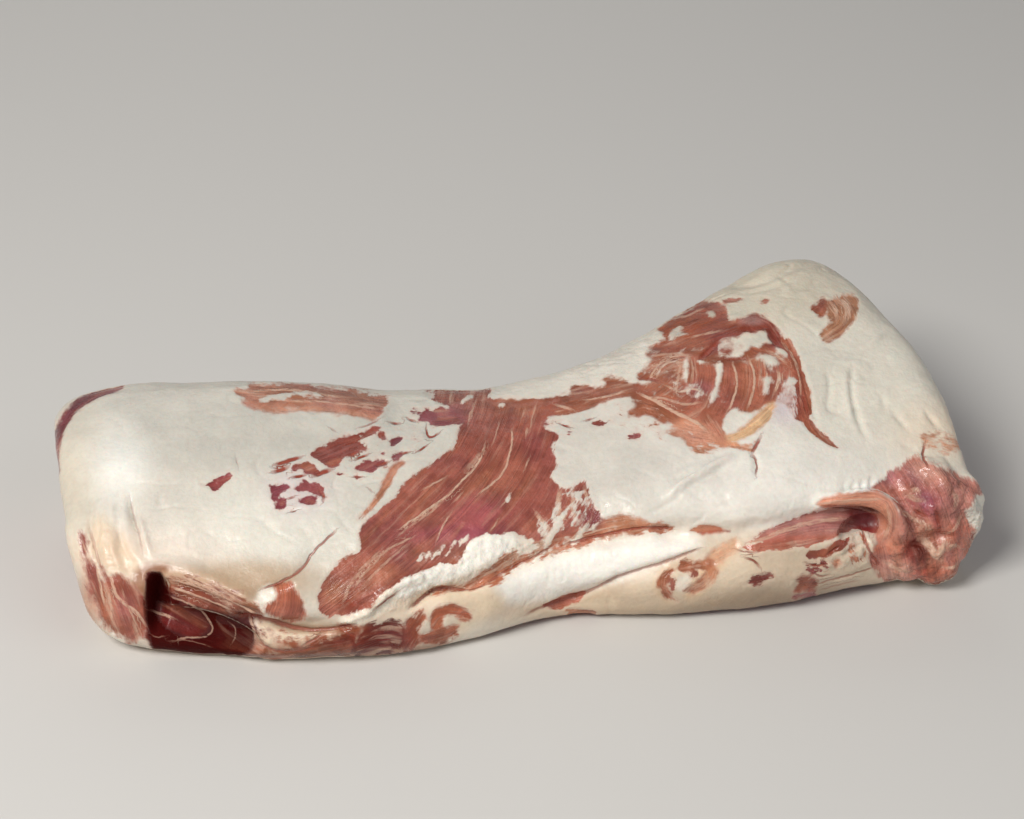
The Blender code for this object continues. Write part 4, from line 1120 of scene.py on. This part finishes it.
def paintLean(finish, spots, patches, scale):
    best = np.full(len(spots), -1e9)
    second = np.full(len(spots), -1e9)
    for index, patch in enumerate(patches.values()):
        outline = rounded(patch["outline"])
        near = nearBox(spots, outline, 14.0 / scale)
        if not len(near):
            continue
        reach = np.minimum(insideDistance(spots[near], outline) * scale + patch["lift"], patch["cap"])
        along, across, _ = alongPath(spots[near], rounded(patch["grain"], False), True)
        finish["lean"][near] = np.maximum(finish["lean"][near], np.maximum(reach, -painting["farOff"]))
        preferred = reach + patch["base"]
        share = np.exp(np.clip(preferred, -16.0, 1.5) / painting["blend"])
        finish["leanTint"][near] += share[:, None] * tone(*leanTones[patch["tone"]])
        finish["tintShare"][near] += share
        wins = preferred > best[near]
        second[near] = np.maximum(second[near], np.minimum(preferred, best[near]))
        chosen = near[wins]
        best[chosen] = preferred[wins]
        finish["grain"][chosen, 0] = along[wins] * scale
        finish["grain"][chosen, 1] = across[wins] * scale
        finish["grain"][chosen, 2] = painting["grainStep"] * index
        finish["streak"][chosen] = patch["streak"]
        finish["ragged"][chosen] = patch["ragged"]
        finish["soft"][chosen] = patch["soft"]
        inside = smoothStep(-0.6, 1.6, reach)
        # Painted shade: the tone deep lays it over the cavity, lit takes it away and shade adds it.
        if patch["tone"] == "deep":
            finish["deep"][near] = np.maximum(finish["deep"][near], inside)
        finish["deep"][near] *= 1.0 - patch["lit"] * inside
        finish["deep"][near] = np.maximum(finish["deep"][near], patch["shade"] * inside)
    # Where two patches meet, the run of the fibres jumps, so that they fade out there.
    finish["seam"] = smoothStep(2.6, 1.2, best - second)


def paintFatIslands(finish, spots, islands, scale):
    for corners in islands.values():
        outline = rounded(corners)
        near = nearBox(spots, outline, 10.0 / scale)
        reach = insideDistance(spots[near], outline) * scale
        finish["lean"][near] = np.minimum(finish["lean"][near], -reach)


def paintFilm(finish, spots, films, scale):
    for corners, left in films.values():
        outline = rounded(corners)
        near = nearBox(spots, outline, 2.0 / scale)
        share = smoothStep(-1.2, 1.2, insideDistance(spots[near], outline) * scale)
        covered = np.minimum(finish["lean"][near], left)
        finish["lean"][near] += share * (covered - finish["lean"][near])


def paintLines(finish, name, spots, lines, scale):
    nearest = np.full(len(spots), 1e9)
    for corners, half, strength in lines.values():
        path = rounded(corners, False)
        near = nearBox(spots, path, 6.0 / scale)
        if not len(near):
            continue
        along, across, run = alongPath(spots[near], path)
        across = across * scale
        ends = np.minimum(along, run - along) * scale
        shape = strength * (0.35 + 0.65 * smoothStep(0.0, 3.0, ends))
        reach = smoothStep(3.2, 1.4, np.abs(across)) * shape
        wins = np.abs(across) < nearest[near]
        chosen = near[wins]
        nearest[chosen] = np.abs(across[wins])
        finish[name][chosen, 0] = across[wins]
        finish[name][chosen, 1] = reach[wins]
        finish[name][chosen, 2] = half


def raiseFolds(finish, spots, folds, scale):
    for corners, half, rise in folds.values():
        path = rounded(corners, False)
        near = nearBox(spots, path, 12.0 / scale)
        if not len(near):
            continue
        along, across, run = alongPath(spots[near], path)
        ends = np.minimum(along, run - along) * scale
        shape = np.exp(-(across * scale / half) ** 2) * (0.3 + 0.7 * smoothStep(0.0, 5.0, ends))
        finish["height"][near] += meatForm["foldRise"] * rise * shape


def awayFrom(spots, middleX, middleY, reachX, reachY):
    return ((spots[:, 0] - middleX) / reachX) ** 2 + ((spots[:, 1] - middleY) / reachY) ** 2


def paintFatZones(finish, spots, zones):
    for *spread, colour in zones:
        share = np.exp(-awayFrom(spots, *spread))
        finish["fatTint"] += share[:, None] * tone(*colour)
        finish["fatShare"] += share


def paintFatPatches(finish, spots, patches, scale):
    for corners, colour, strength, soft in patches:
        outline = rounded(corners)
        near = nearBox(spots, outline, (soft + 2.0) / scale)
        share = strength * smoothStep(-soft, soft, insideDistance(spots[near], outline) * scale)
        finish["fatTint"][near] += share[:, None] * (tone(*colour) - finish["fatTint"][near])


def paintLeanZones(finish, spots, zones):
    for *spread, colour, strength in zones:
        share = strength * np.exp(-awayFrom(spots, *spread) ** 1.5)
        finish["leanTint"] += share[:, None] * (tone(*colour) - finish["leanTint"])


def closeTints(finish):
    base = tone(*leanTones["loin"])
    finish["leanTint"] = (finish["leanTint"] + painting["leanBase"] * base) / finish["tintShare"][:, None]
    base = tone(*fatTone)
    finish["fatTint"] = (finish["fatTint"] + painting["fatBase"] * base) / finish["fatShare"][:, None]
    return finish


def frontFinish(places):
    spots = frontSpots(places)
    finish = emptyFinish(len(places))
    scale = shot["mmPerPixel"]
    paintLean(finish, spots, frontLean, scale)
    paintFatIslands(finish, spots, frontFat, scale)
    paintFilm(finish, spots, frontFilm, scale)
    paintLines(finish, "strand", spots, frontStrands, scale)
    paintLines(finish, "cut", spots, frontCuts, scale)
    raiseFolds(finish, spots, frontFolds, scale)
    for *spread, more in frontStreaks:
        finish["streak"] += more * np.exp(-awayFrom(spots, *spread))
    paintFatZones(finish, spots, frontFatToneAndPaintedLight)
    closeTints(finish)
    paintLeanZones(finish, spots, frontLeanZones)
    paintFatPatches(finish, spots, frontFatPatches, scale)
    for outline, strength, size in [(flapNodules, 1.0, meatForm["noduleScale"])] + lumpyFat:
        outline = rounded(outline)
        near = nearBox(spots, outline, 8.0)
        reach = insideDistance(spots[near], outline) * scale
        finish["nodules"][near] = np.maximum(finish["nodules"][near], strength * smoothStep(-1.5, 2.5, reach))
        finish["noduleSize"][near] = size
    return finish


# The sides that lie away from the camera.

# Muscles met by a side: middle, half length, half width, turn in degrees and tone, in millimetres.
sideMuscles = {
    "under": {
        "axes": [0, 1], "grainAlong": True, "seam": 1.0, "spread": 5.0, "streak": 0.7, "left": 3.0,
        "muscles": [
            (-150, -30, 60, 26, 10, "dusty"), (-120, 44, 64, 22, -6, "purple"), (-52, 4, 58, 20, 14, "loin"),
            (-30, -62, 66, 18, 4, "loinWarm"), (-10, 62, 70, 18, -4, "streaky"),
            (44, -22, 62, 22, 18, "streaky"),
            (66, 34, 60, 20, 6, "loin"), (104, -58, 58, 20, -10, "purple"), (136, 6, 56, 24, 8, "loinWarm"),
            (150, 66, 50, 18, -14, "dusty")]},
    "back": {
        "axes": [0, 2], "grainAlong": True, "seam": 1.6, "spread": -1.0, "streak": 0.8, "left": 1.2,
        "muscles": [
            (-150, 20, 46, 10, 8, "streaky"), (-112, 44, 26, 5, -16, "rust"), (-66, 10, 58, 8, -6, "loin"),
            (-44, 30, 30, 4, 14, "dusty"), (4, 22, 46, 7, 12, "loinWarm"), (34, 50, 34, 4, -10, "rust"),
            (78, 22, 44, 8, -12, "streaky"), (112, 46, 26, 6, 18, "purple"), (150, 14, 36, 8, 4, "loin")]},
    "head": {
        "axes": [1, 2], "grainAlong": False, "seam": 0.8, "spread": 5.0, "streak": 0.9, "left": 2.4,
        "muscles": [
            (-62, 24, 30, 17, 12, "dusty"), (-22, 40, 26, 15, -14, "loin"), (-18, 12, 30, 11, 4, "purple"),
            (22, 46, 24, 13, 16, "loinWarm"), (26, 18, 26, 13, -8, "loin"), (66, 34, 24, 14, -24, "rust"),
            (64, 8, 26, 9, 0, "purple"), (2, 26, 8, 7, 30, "streaky"), (44, 30, 7, 9, 0, "purple")]},
    "shoulder": {
        "axes": [1, 2], "grainAlong": False, "seam": 0.9, "spread": 5.0, "streak": 0.9, "left": 2.4,
        "muscles": [
            (-64, 30, 26, 18, -10, "loin"), (-30, 52, 28, 14, 20, "rust"), (-24, 16, 30, 13, -4, "purple"),
            (16, 58, 22, 14, -16, "loinWarm"), (20, 28, 28, 13, 10, "loin"), (60, 46, 22, 18, -30, "dusty"),
            (58, 14, 28, 12, 4, "rust"), (-2, 44, 8, 8, 0, "purple"), (40, 34, 7, 10, 20, "streaky")]},
}


def sideFinish(millimetres, side):
    spots = millimetres[:, side["axes"]]
    finish = emptyFinish(len(spots))
    first = np.full(len(spots), 1e9)
    second = np.full(len(spots), 1e9)
    # The muscles' outlines wander, so that no two meet in a plain curve.
    waves = ((0.045, 0.06, 3.0), (0.045, 0.06, 31.0), (0.16, 0.22, 7.0), (0.16, 0.22, 57.0))
    wander = np.array([
        [noise.noise((spot[0] * along, spot[1] * across, level)) for along, across, level in waves]
        for spot in spots])
    spots = spots + wander[:, :2] * 11.0 + wander[:, 2:] * 4.0
    for index, (middleX, middleY, halfLong, halfWide, turn, toneName) in enumerate(side["muscles"]):
        angle = math.radians(turn)
        heading = np.array((math.cos(angle), math.sin(angle)))
        across = np.array((-math.sin(angle), math.cos(angle)))
        offset = spots - (middleX, middleY)
        longWay = offset @ heading
        wideWay = offset @ across
        away = np.sqrt((longWay / halfLong) ** 2 + (wideWay / halfWide) ** 2) * math.sqrt(halfLong * halfWide)
        size = away - math.sqrt(halfLong * halfWide)
        wins = size < first
        second = np.where(wins, first, np.minimum(second, size))
        first = np.where(wins, size, first)
        share = np.exp(-np.clip(size, -20.0, 20.0) / 1.6)
        finish["leanTint"] += share[:, None] * tone(*leanTones[toneName])
        finish["tintShare"] += share
        finish["grain"][wins, 0] = longWay[wins] if side["grainAlong"] else 0.35 * longWay[wins]
        finish["grain"][wins, 1] = wideWay[wins] if side["grainAlong"] else 0.6 * wideWay[wins]
        finish["grain"][wins, 2] = 400.0 + painting["grainStep"] * index
    between = 0.5 * (second - first) - side["seam"]
    finish["lean"] = np.clip(np.minimum(between, side["spread"] - first), -painting["farOff"], side["left"])
    finish["streak"][:] = side["streak"]
    finish["ragged"][:] = 1.7
    finish["soft"][:] = 0.6
    finish["fatTint"] += tone(228, 206, 184) * 0.5
    finish["fatShare"] += 0.5
    return closeTints(finish)


def mixFinishes(parts, shares):
    total = sum(shares)
    mixed = {}
    for name in parts[0]:
        if parts[0][name].ndim == 1:
            mixed[name] = sum(part[name] * share for part, share in zip(parts, shares)) / total
        else:
            summed = sum(part[name] * share[:, None] for part, share in zip(parts, shares))
            mixed[name] = summed / total[:, None]
    strongest = np.argmax(np.stack(shares), axis=0)
    for index, part in enumerate(parts):
        mixed["grain"][strongest == index] = part["grain"][strongest == index]
    return mixed


def wholeFinish(places, normals):
    toCamera = cameraPlace() - places
    toCamera /= np.linalg.norm(toCamera, axis=1)[:, None]
    facing = (normals * toCamera).sum(axis=1)
    millimetres = places * 1000.0
    parts = [frontFinish(places)]
    for name in ("under", "back", "head", "shoulder"):
        parts.append(sideFinish(millimetres, sideMuscles[name]))
    front = smoothStep(-0.10, 0.12, facing) + 1e-4
    away = 1.0 - np.clip(front, 0.0, 1.0)
    downward = smoothStep(0.35, 0.75, -normals[:, 2])
    under = away * downward
    head = away * smoothStep(0.55, 0.8, -normals[:, 0]) * (1.0 - downward)
    shoulder = away * smoothStep(0.55, 0.8, normals[:, 0]) * (1.0 - downward)
    back = np.clip(away - under - head - shoulder, 0.0, 1.0)
    return mixFinishes(parts, [front, under, back, head, shoulder])


def reliefHeights(places, finish):
    height = finish["height"] * 0.001
    leanShare = smoothStep(-0.7, 0.9, finish["lean"])
    height -= meatForm["leanSink"] * leanShare
    height += meatForm["fatRoll"] * meatForm["leanSink"] * np.exp(-((finish["lean"] + 1.2) / 0.9) ** 2)
    cut = finish["cut"][:, 1] * np.exp(-(finish["cut"][:, 0] / 1.3) ** 2)
    height -= meatForm["cutDepth"] * cut
    slow = np.array([noise.noise(Vector(place) * meatForm["swellScale"]) for place in places])
    quick = np.array([noise.noise(Vector(place) * meatForm["grainScale"]) for place in places])
    creasePlaces = places * meatForm["creaseScale"] + (0.0, 0.0, 9.0)
    crease = np.array([noise.noise(Vector(place)) for place in creasePlaces])
    height += meatForm["swell"] * slow
    creased = np.exp(-(crease / 0.05) ** 2) * smoothStep(-0.1, 0.35, slow)
    height -= meatForm["crease"] * (1.0 - leanShare) * creased
    lumpy = np.nonzero(finish["nodules"] > 0.02)[0]
    for index in lumpy:
        place = Vector(places[index])
        coarse = noise.voronoi(place * finish["noduleSize"][index])[0][0]
        fine = noise.voronoi(place * finish["noduleSize"][index] * 2.3)[0][0]
        height[index] += finish["nodules"][index] * meatForm["nodule"] * (0.75 - coarse + 0.4 * (0.5 - fine))
    height += meatForm["grainSwell"] * quick * (1.0 - 0.3 * leanShare)
    return height


def giveAttribute(piece, name, kind, values):
    layer = piece.data.attributes.new(name, kind, "POINT")
    if kind == "FLOAT":
        layer.data.foreach_set("value", np.ascontiguousarray(values, np.float32))
    elif kind == "FLOAT_VECTOR":
        layer.data.foreach_set("vector", np.ascontiguousarray(values, np.float32).reshape(-1))
    else:
        colours = np.ones((len(values), 4), np.float32)
        colours[:, :3] = values
        layer.data.foreach_set("color", colours.reshape(-1))


meatAttributes = {
    "FLOAT": ("lean", "streak", "ragged", "soft", "deep", "seam", "nodules"),
    "FLOAT_VECTOR": ("grain", "cut", "strand"),
    "FLOAT_COLOR": ("leanTint", "fatTint"),
}


def dressMeat(piece):
    places = pointsOf(piece)
    normals = normalsOf(piece)
    finish = wholeFinish(places, normals)
    heights = reliefHeights(places, finish)
    shaped = places + normals * heights[:, None]
    shaped[:, 2] = np.maximum(shaped[:, 2], 0.0)
    shaped[places[:, 2] < meatForm["groundTouch"], 2] = 0.0
    setPoints(piece, shaped)
    for kind, names in meatAttributes.items():
        for name in names:
            giveAttribute(piece, name, kind, finish[name])


# Faces under the deepest painted shade get the second, duller material.
def dullInside(piece):
    deep = np.empty(len(piece.data.vertices))
    piece.data.attributes["deep"].data.foreach_get("value", deep)
    for face in piece.data.polygons:
        if min(deep[corner] for corner in face.vertices) > 0.8:
            face.material_index = 1


dressMeat(meat)
print("fat, lean and folds laid out")


# Materials.

def addNode(tree, kind, inputs=None, **settings):
    made = tree.nodes.new(kind)
    for name, value in settings.items():
        setattr(made, name, value)
    for name, value in (inputs or {}).items():
        socket = made.inputs[name]
        if isinstance(value, bpy.types.NodeSocket):
            tree.links.new(value, socket)
        else:
            socket.default_value = value
    return made


def mathNode(tree, operation, first, second=None, third=None, clamp=False):
    made = tree.nodes.new("ShaderNodeMath")
    made.operation = operation
    made.use_clamp = clamp
    for index, value in enumerate((first, second, third)):
        if value is None:
            continue
        if isinstance(value, bpy.types.NodeSocket):
            tree.links.new(value, made.inputs[index])
        else:
            made.inputs[index].default_value = value
    return made.outputs[0]


def mixColours(tree, share, first, second, blend="MIX"):
    made = tree.nodes.new("ShaderNodeMix")
    made.data_type = "RGBA"
    made.blend_type = blend
    for socket, value in ((made.inputs[0], share), (made.inputs[6], first), (made.inputs[7], second)):
        if isinstance(value, bpy.types.NodeSocket):
            tree.links.new(value, socket)
        elif isinstance(value, (int, float)):
            socket.default_value = value
        else:
            socket.default_value = (*value, 1.0)
    return made.outputs[2]


def rangeNode(tree, value, low, high, toLow=0.0, toHigh=1.0):
    made = addNode(tree, "ShaderNodeMapRange", {
        "From Min": low, "From Max": high, "To Min": toLow, "To Max": toHigh})
    made.interpolation_type = "SMOOTHSTEP"
    tree.links.new(value, made.inputs["Value"])
    return made.outputs["Result"]


def attributeNode(tree, name, output):
    return addNode(tree, "ShaderNodeAttribute", attribute_name=name).outputs[output]


def newGroup(name, inputs, outputs):
    group = bpy.data.node_groups.new(name, "ShaderNodeTree")
    for socketName, kind, value in inputs:
        socket = group.interface.new_socket(socketName, in_out="INPUT", socket_type=kind)
        if value is not None:
            socket.default_value = value
    for socketName, kind in outputs:
        group.interface.new_socket(socketName, in_out="OUTPUT", socket_type=kind)
    return group, group.nodes.new("NodeGroupInput"), group.nodes.new("NodeGroupOutput")


def fibreGroup():
    group, given, result = newGroup(
        "meatFibres",
        [("Grain", "NodeSocketVector", None), ("Along", "NodeSocketFloat", 0.08),
         ("Across", "NodeSocketFloat", 0.9), ("Detail", "NodeSocketFloat", 3.0),
         ("Seam", "NodeSocketFloat", 0.0)],
        [("Value", "NodeSocketFloat")])
    stretch = addNode(group, "ShaderNodeCombineXYZ", {
        "X": given.outputs["Along"], "Y": given.outputs["Across"], "Z": 1.0})
    scaled = addNode(group, "ShaderNodeVectorMath", {
        0: given.outputs["Grain"], 1: stretch.outputs[0]}, operation="MULTIPLY")
    bands = addNode(group, "ShaderNodeTexNoise", {
        "Vector": scaled.outputs[0], "Scale": 1.0, "Detail": given.outputs["Detail"], "Distortion": 0.5})
    left = mathNode(group, "SUBTRACT", 1.0, given.outputs["Seam"])
    value = mathNode(group, "MULTIPLY_ADD", mathNode(group, "SUBTRACT", bands.outputs[0], 0.5), left, 0.5)
    group.links.new(value, result.inputs["Value"])
    return group


def spotsGroup():
    group, given, result = newGroup(
        "meatMottle",
        [("Vector", "NodeSocketVector", None), ("Size", "NodeSocketFloat", 100.0),
         ("Detail", "NodeSocketFloat", 2.0)],
        [("Value", "NodeSocketFloat")])
    bands = addNode(group, "ShaderNodeTexNoise", {
        "Vector": given.outputs["Vector"], "Scale": given.outputs["Size"], "Detail": given.outputs["Detail"]})
    group.links.new(bands.outputs[0], result.inputs["Value"])
    return group


fibres = fibreGroup()
mottle = spotsGroup()


def fibreValue(tree, grain, along, across, detail=3.0):
    made = addNode(tree, "ShaderNodeGroup", node_tree=fibres)
    tree.links.new(grain, made.inputs["Grain"])
    made.inputs["Along"].default_value = along
    made.inputs["Across"].default_value = across
    made.inputs["Detail"].default_value = detail
    tree.links.new(attributeNode(tree, "seam", "Fac"), made.inputs["Seam"])
    return made.outputs["Value"]


def mottleValue(tree, vector, size, detail=2.0):
    made = addNode(tree, "ShaderNodeGroup", node_tree=mottle)
    tree.links.new(vector, made.inputs["Vector"])
    made.inputs["Size"].default_value = size
    made.inputs["Detail"].default_value = detail
    return made.outputs["Value"]


def plus(tree, first, second):
    return mathNode(tree, "ADD", first, second)


def times(tree, first, second, clamp=False):
    return mathNode(tree, "MULTIPLY", first, second, clamp=clamp)


def timesPlus(tree, first, second, third, clamp=False):
    return mathNode(tree, "MULTIPLY_ADD", first, second, third, clamp)


def aboutZero(tree, noiseValue):
    return mathNode(tree, "SUBTRACT", noiseValue, 0.5)


def scaledColour(tree, colour, light):
    return addNode(tree, "ShaderNodeVectorMath", {0: colour, "Scale": light}, operation="SCALE").outputs[0]


meatFinish = {
    "strandColour": (0.66, 0.43, 0.31),
    "paleFibre": (0.50, 0.24, 0.17),
    "thinFat": (0.63, 0.40, 0.32),
    "darkFibre": (0.17, 0.035, 0.030),
    "purple": (0.24, 0.065, 0.085),
    "rust": (0.40, 0.14, 0.07),
    # The red of cuts, and painted shade in creases.
    "cutAndCreaseShade": (0.30, 0.06, 0.035),
    # The near-black of painted shade in the cavity.
    "paintedShadeColour": (0.048, 0.0015, 0.001),
    "roughFat": 0.40,
    "roughLean": 0.27,
    "shine": 0.45,
    "shineInside": 0.10,
}

meatSurface = {
    "IOR": 1.40,
    "Subsurface Weight": 0.22,
    "Subsurface Radius": (1.0, 0.42, 0.28),
    "Subsurface Scale": 0.0035,
    "Coat Roughness": 0.09,
}

# Relief too fine for the mesh, in metres.
fineHeights = {
    "fat": 0.00022,
    "fibre": 0.0004,
    "fatGrain": 0.00022,
    "wrinkle": 0.00022,
    "mottle": 0.00035,
    "cut": -0.0005,
    "nodules": 0.0014,
    "wet": 0.0010,
    "pale": 0.0002,
}


def meatInputs(tree):
    given = {"place": addNode(tree, "ShaderNodeTexCoord").outputs["Object"]}
    for name in ("lean", "streak", "ragged", "soft", "deep", "nodules"):
        given[name] = attributeNode(tree, name, "Fac")
    given["grain"] = attributeNode(tree, "grain", "Vector")
    for name in ("leanTint", "fatTint"):
        given[name] = attributeNode(tree, name, "Color")
    for name in ("cut", "strand"):
        parts = addNode(tree, "ShaderNodeSeparateXYZ", {0: attributeNode(tree, name, "Vector")})
        given[name] = list(parts.outputs)
    return given


# The edge between fat and lean: frayed along the fibres, a little rough everywhere.
def frayedEdge(tree, given):
    fray = aboutZero(tree, fibreValue(tree, given["grain"], 0.14, 0.36, 4.0))
    wander = aboutZero(tree, mottleValue(tree, given["place"], 180.0, 5.0))
    nibble = aboutZero(tree, fibreValue(tree, given["grain"], 0.35, 0.95, 3.0))
    moved = given["lean"]
    for noiseValue, reach in ((fray, 2.4), (wander, 4.2), (nibble, 2.2)):
        moved = timesPlus(tree, noiseValue, times(tree, given["ragged"], reach), moved)
    return moved, rangeNode(tree, mathNode(tree, "DIVIDE", moved, given["soft"]), -1.0, 1.0)


# How much of a drawn line shows: it wavers, and falls off over its half width.
def lineShare(tree, line, wave, waveReach, outer, inner):
    across, strength, half = line
    waver = timesPlus(tree, aboutZero(tree, wave), waveReach, across)
    away = mathNode(tree, "DIVIDE", mathNode(tree, "ABSOLUTE", waver), mathNode(tree, "MAXIMUM", half, 0.2))
    return times(tree, rangeNode(tree, away, outer, inner), strength, clamp=True)


# Pale marbling inside the lean, drawn out along the fibres, and the strands of gristle.
def paleLines(tree, given):
    veins = fibreValue(tree, given["grain"], 0.055, 0.40, 4.0)
    veinLevel = timesPlus(tree, given["streak"], -0.13, 0.655)
    veinShare = times(tree, mathNode(tree, "SUBTRACT", veins, veinLevel), 4.5, clamp=True)
    veinShare = times(tree, veinShare, times(tree, given["streak"], 0.75), clamp=True)
    wave = mottleValue(tree, given["place"], 260.0)
    strandShare = lineShare(tree, given["strand"], wave, 1.3, 1.35, 0.55)
    strandBreak = rangeNode(tree, fibreValue(tree, given["grain"], 0.22, 1.2, 2.0), 0.30, 0.52, 0.25, 1.0)
    strandShare = times(tree, strandShare, strandBreak, clamp=True)
    return strandShare, mathNode(tree, "MAXIMUM", veinShare, strandShare)


# Lean colour: fine fibres, and slow drifts to purple and to rust.
def leanColour(tree, given, fineFibre, paleShare):
    purpleDrift = mottleValue(tree, given["place"], 42.0, 3.0)
    rustDrift = fibreValue(tree, given["grain"], 0.03, 0.13, 2.5)
    bundle = fibreValue(tree, given["grain"], 0.045, 0.42, 2.0)
    blotch = mottleValue(tree, given["place"], 130.0, 4.0)
    colour = mixColours(
        tree, rangeNode(tree, purpleDrift, 0.48, 0.68, 0.0, 0.28), given["leanTint"], meatFinish["purple"])
    colour = mixColours(tree, rangeNode(tree, rustDrift, 0.48, 0.68, 0.0, 0.45), colour, meatFinish["rust"])
    colour = mixColours(tree, rangeNode(tree, bundle, 0.52, 0.72, 0.0, 0.40), colour, meatFinish["paleFibre"])
    light = rangeNode(tree, bundle, 0.28, 0.50, 0.86, 1.0)
    light = plus(tree, light, rangeNode(tree, blotch, 0.32, 0.68, -0.21, 0.15))
    light = plus(tree, light, rangeNode(tree, fineFibre, 0.25, 0.75, -0.14, 0.13))
    colour = scaledColour(tree, colour, light)
    darkShare = rangeNode(tree, fibreValue(tree, given["grain"], 0.030, 0.22, 2.5), 0.46, 0.30, 0.0, 0.42)
    colour = mixColours(tree, darkShare, colour, meatFinish["darkFibre"])
    return mixColours(tree, paleShare, colour, meatFinish["strandColour"])


# Fat colour: faint mottling, painted shade in the hollows between lumps, and a pink tinge where it thins out
# over lean.
def fatColour(tree, given, moved, fatFine, lump):
    cloud = mottleValue(tree, given["place"], 60.0, 4.0)
    light = rangeNode(tree, cloud, 0.3, 0.7, 0.93, 1.04)
    light = plus(tree, light, rangeNode(tree, fatFine, 0.3, 0.7, -0.03, 0.03))
    lumpShade = times(tree, given["nodules"], rangeNode(tree, lump, 0.54, 0.38, 0.0, 0.13))
    colour = scaledColour(tree, given["fatTint"], timesPlus(tree, lumpShade, -1.0, light))
    thinness = rangeNode(tree, moved, -1.6, 0.0, 0.0, 0.36)
    thinness = times(tree, thinness, rangeNode(tree, cloud, 0.35, 0.6, 0.5, 1.0))
    return mixColours(tree, thinness, colour, meatFinish["thinFat"])


# Wetness: smoother on lean, uneven everywhere, and its coat taken away deep inside, under the painted shade.
def wetSurface(tree, given, surface, leanShare, wetNoise):
    smoother = meatFinish["roughLean"] - meatFinish["roughFat"]
    roughness = timesPlus(tree, leanShare, smoother, meatFinish["roughFat"])
    roughness = plus(tree, roughness, rangeNode(tree, wetNoise, 0.3, 0.7, -0.10, 0.12))
    tree.links.new(timesPlus(tree, given["deep"], 0.5, roughness), surface.inputs["Roughness"])
    coat = rangeNode(tree, wetNoise, 0.42, 0.66, 0.05, 1.0)
    coat = times(tree, coat, timesPlus(tree, leanShare, 0.16, 0.32))
    shallow = timesPlus(tree, given["deep"], -3.0, 1.0, clamp=True)
    tree.links.new(times(tree, coat, shallow), surface.inputs["Coat Weight"])


def wrinkles(tree, place):
    folded = mathNode(tree, "ABSOLUTE", aboutZero(tree, mottleValue(tree, place, 60.0)))
    where = rangeNode(tree, mottleValue(tree, place, 24.0), 0.46, 0.62)
    return times(tree, rangeNode(tree, folded, 0.0, 0.09), where)


def wetLumps(tree, place, leanShare, wetNoise):
    share = times(tree, leanShare, rangeNode(tree, wetNoise, 0.46, 0.62, 0.15, 1.0))
    return times(tree, aboutZero(tree, mottleValue(tree, place, 330.0, 3.0)), share)


def meatMaterial(name, shine):
    material = bpy.data.materials.new(name)
    material.use_nodes = True
    tree = material.node_tree
    surface = tree.nodes["Principled BSDF"]
    given = meatInputs(tree)
    place = given["place"]
    fineFibre = fibreValue(tree, given["grain"], 0.05, 1.5, 2.0)
    fatFine = mottleValue(tree, place, 520.0, 3.0)
    lump = mottleValue(tree, place, 430.0)
    wetNoise = mottleValue(tree, place, 130.0, 3.0)
    moved, leanShare = frayedEdge(tree, given)
    strandShare, paleShare = paleLines(tree, given)
    cutShare = lineShare(tree, given["cut"], mottleValue(tree, place, 300.0), 1.0, 1.4, 0.4)

    lean = leanColour(tree, given, fineFibre, paleShare)
    colour = mixColours(tree, leanShare, fatColour(tree, given, moved, fatFine, lump), lean)
    # Cuts and creases: their own red, and painted shade in the creases.
    colour = mixColours(tree, cutShare, colour, meatFinish["cutAndCreaseShade"])
    # Painted shade: deep mixes the colour towards near black, less where strands cross.
    paintedShade = times(tree, given["deep"], timesPlus(tree, strandShare, -0.75, 0.96))
    colour = mixColours(tree, paintedShade, colour, meatFinish["paintedShadeColour"])
    tree.links.new(colour, surface.inputs["Base Color"])
    wetSurface(tree, given, surface, leanShare, wetNoise)
    surface.inputs["Specular IOR Level"].default_value = shine
    for socket, value in meatSurface.items():
        surface.inputs[socket].default_value = value

    layers = {
        "fat": mathNode(tree, "SUBTRACT", 1.0, leanShare),
        "fibre": times(tree, fineFibre, leanShare),
        "fatGrain": fatFine,
        "wrinkle": wrinkles(tree, place),
        "mottle": mottleValue(tree, place, 190.0, 3.0),
        "cut": cutShare,
        "nodules": times(tree, given["nodules"], lump),
        "wet": wetLumps(tree, place, leanShare, wetNoise),
        "pale": times(tree, paleShare, leanShare),
    }
    heights = 0.0
    for layer, share in layers.items():
        heights = timesPlus(tree, share, fineHeights[layer], heights)
    bump = addNode(tree, "ShaderNodeBump", {"Height": heights, "Strength": 1.0, "Distance": 1.0})
    tree.links.new(bump.outputs["Normal"], surface.inputs["Normal"])
    return material


meat.data.materials.append(meatMaterial("neckMeat", meatFinish["shine"]))
meat.data.materials.append(meatMaterial("neckMeatInside", meatFinish["shineInside"]))
dullInside(meat)
meat.data.shade_smooth()
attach(meat, "root")
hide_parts("pork_neck")
print("meat dressed", sum(len(face.vertices) - 2 for face in meat.data.polygons), "triangles")
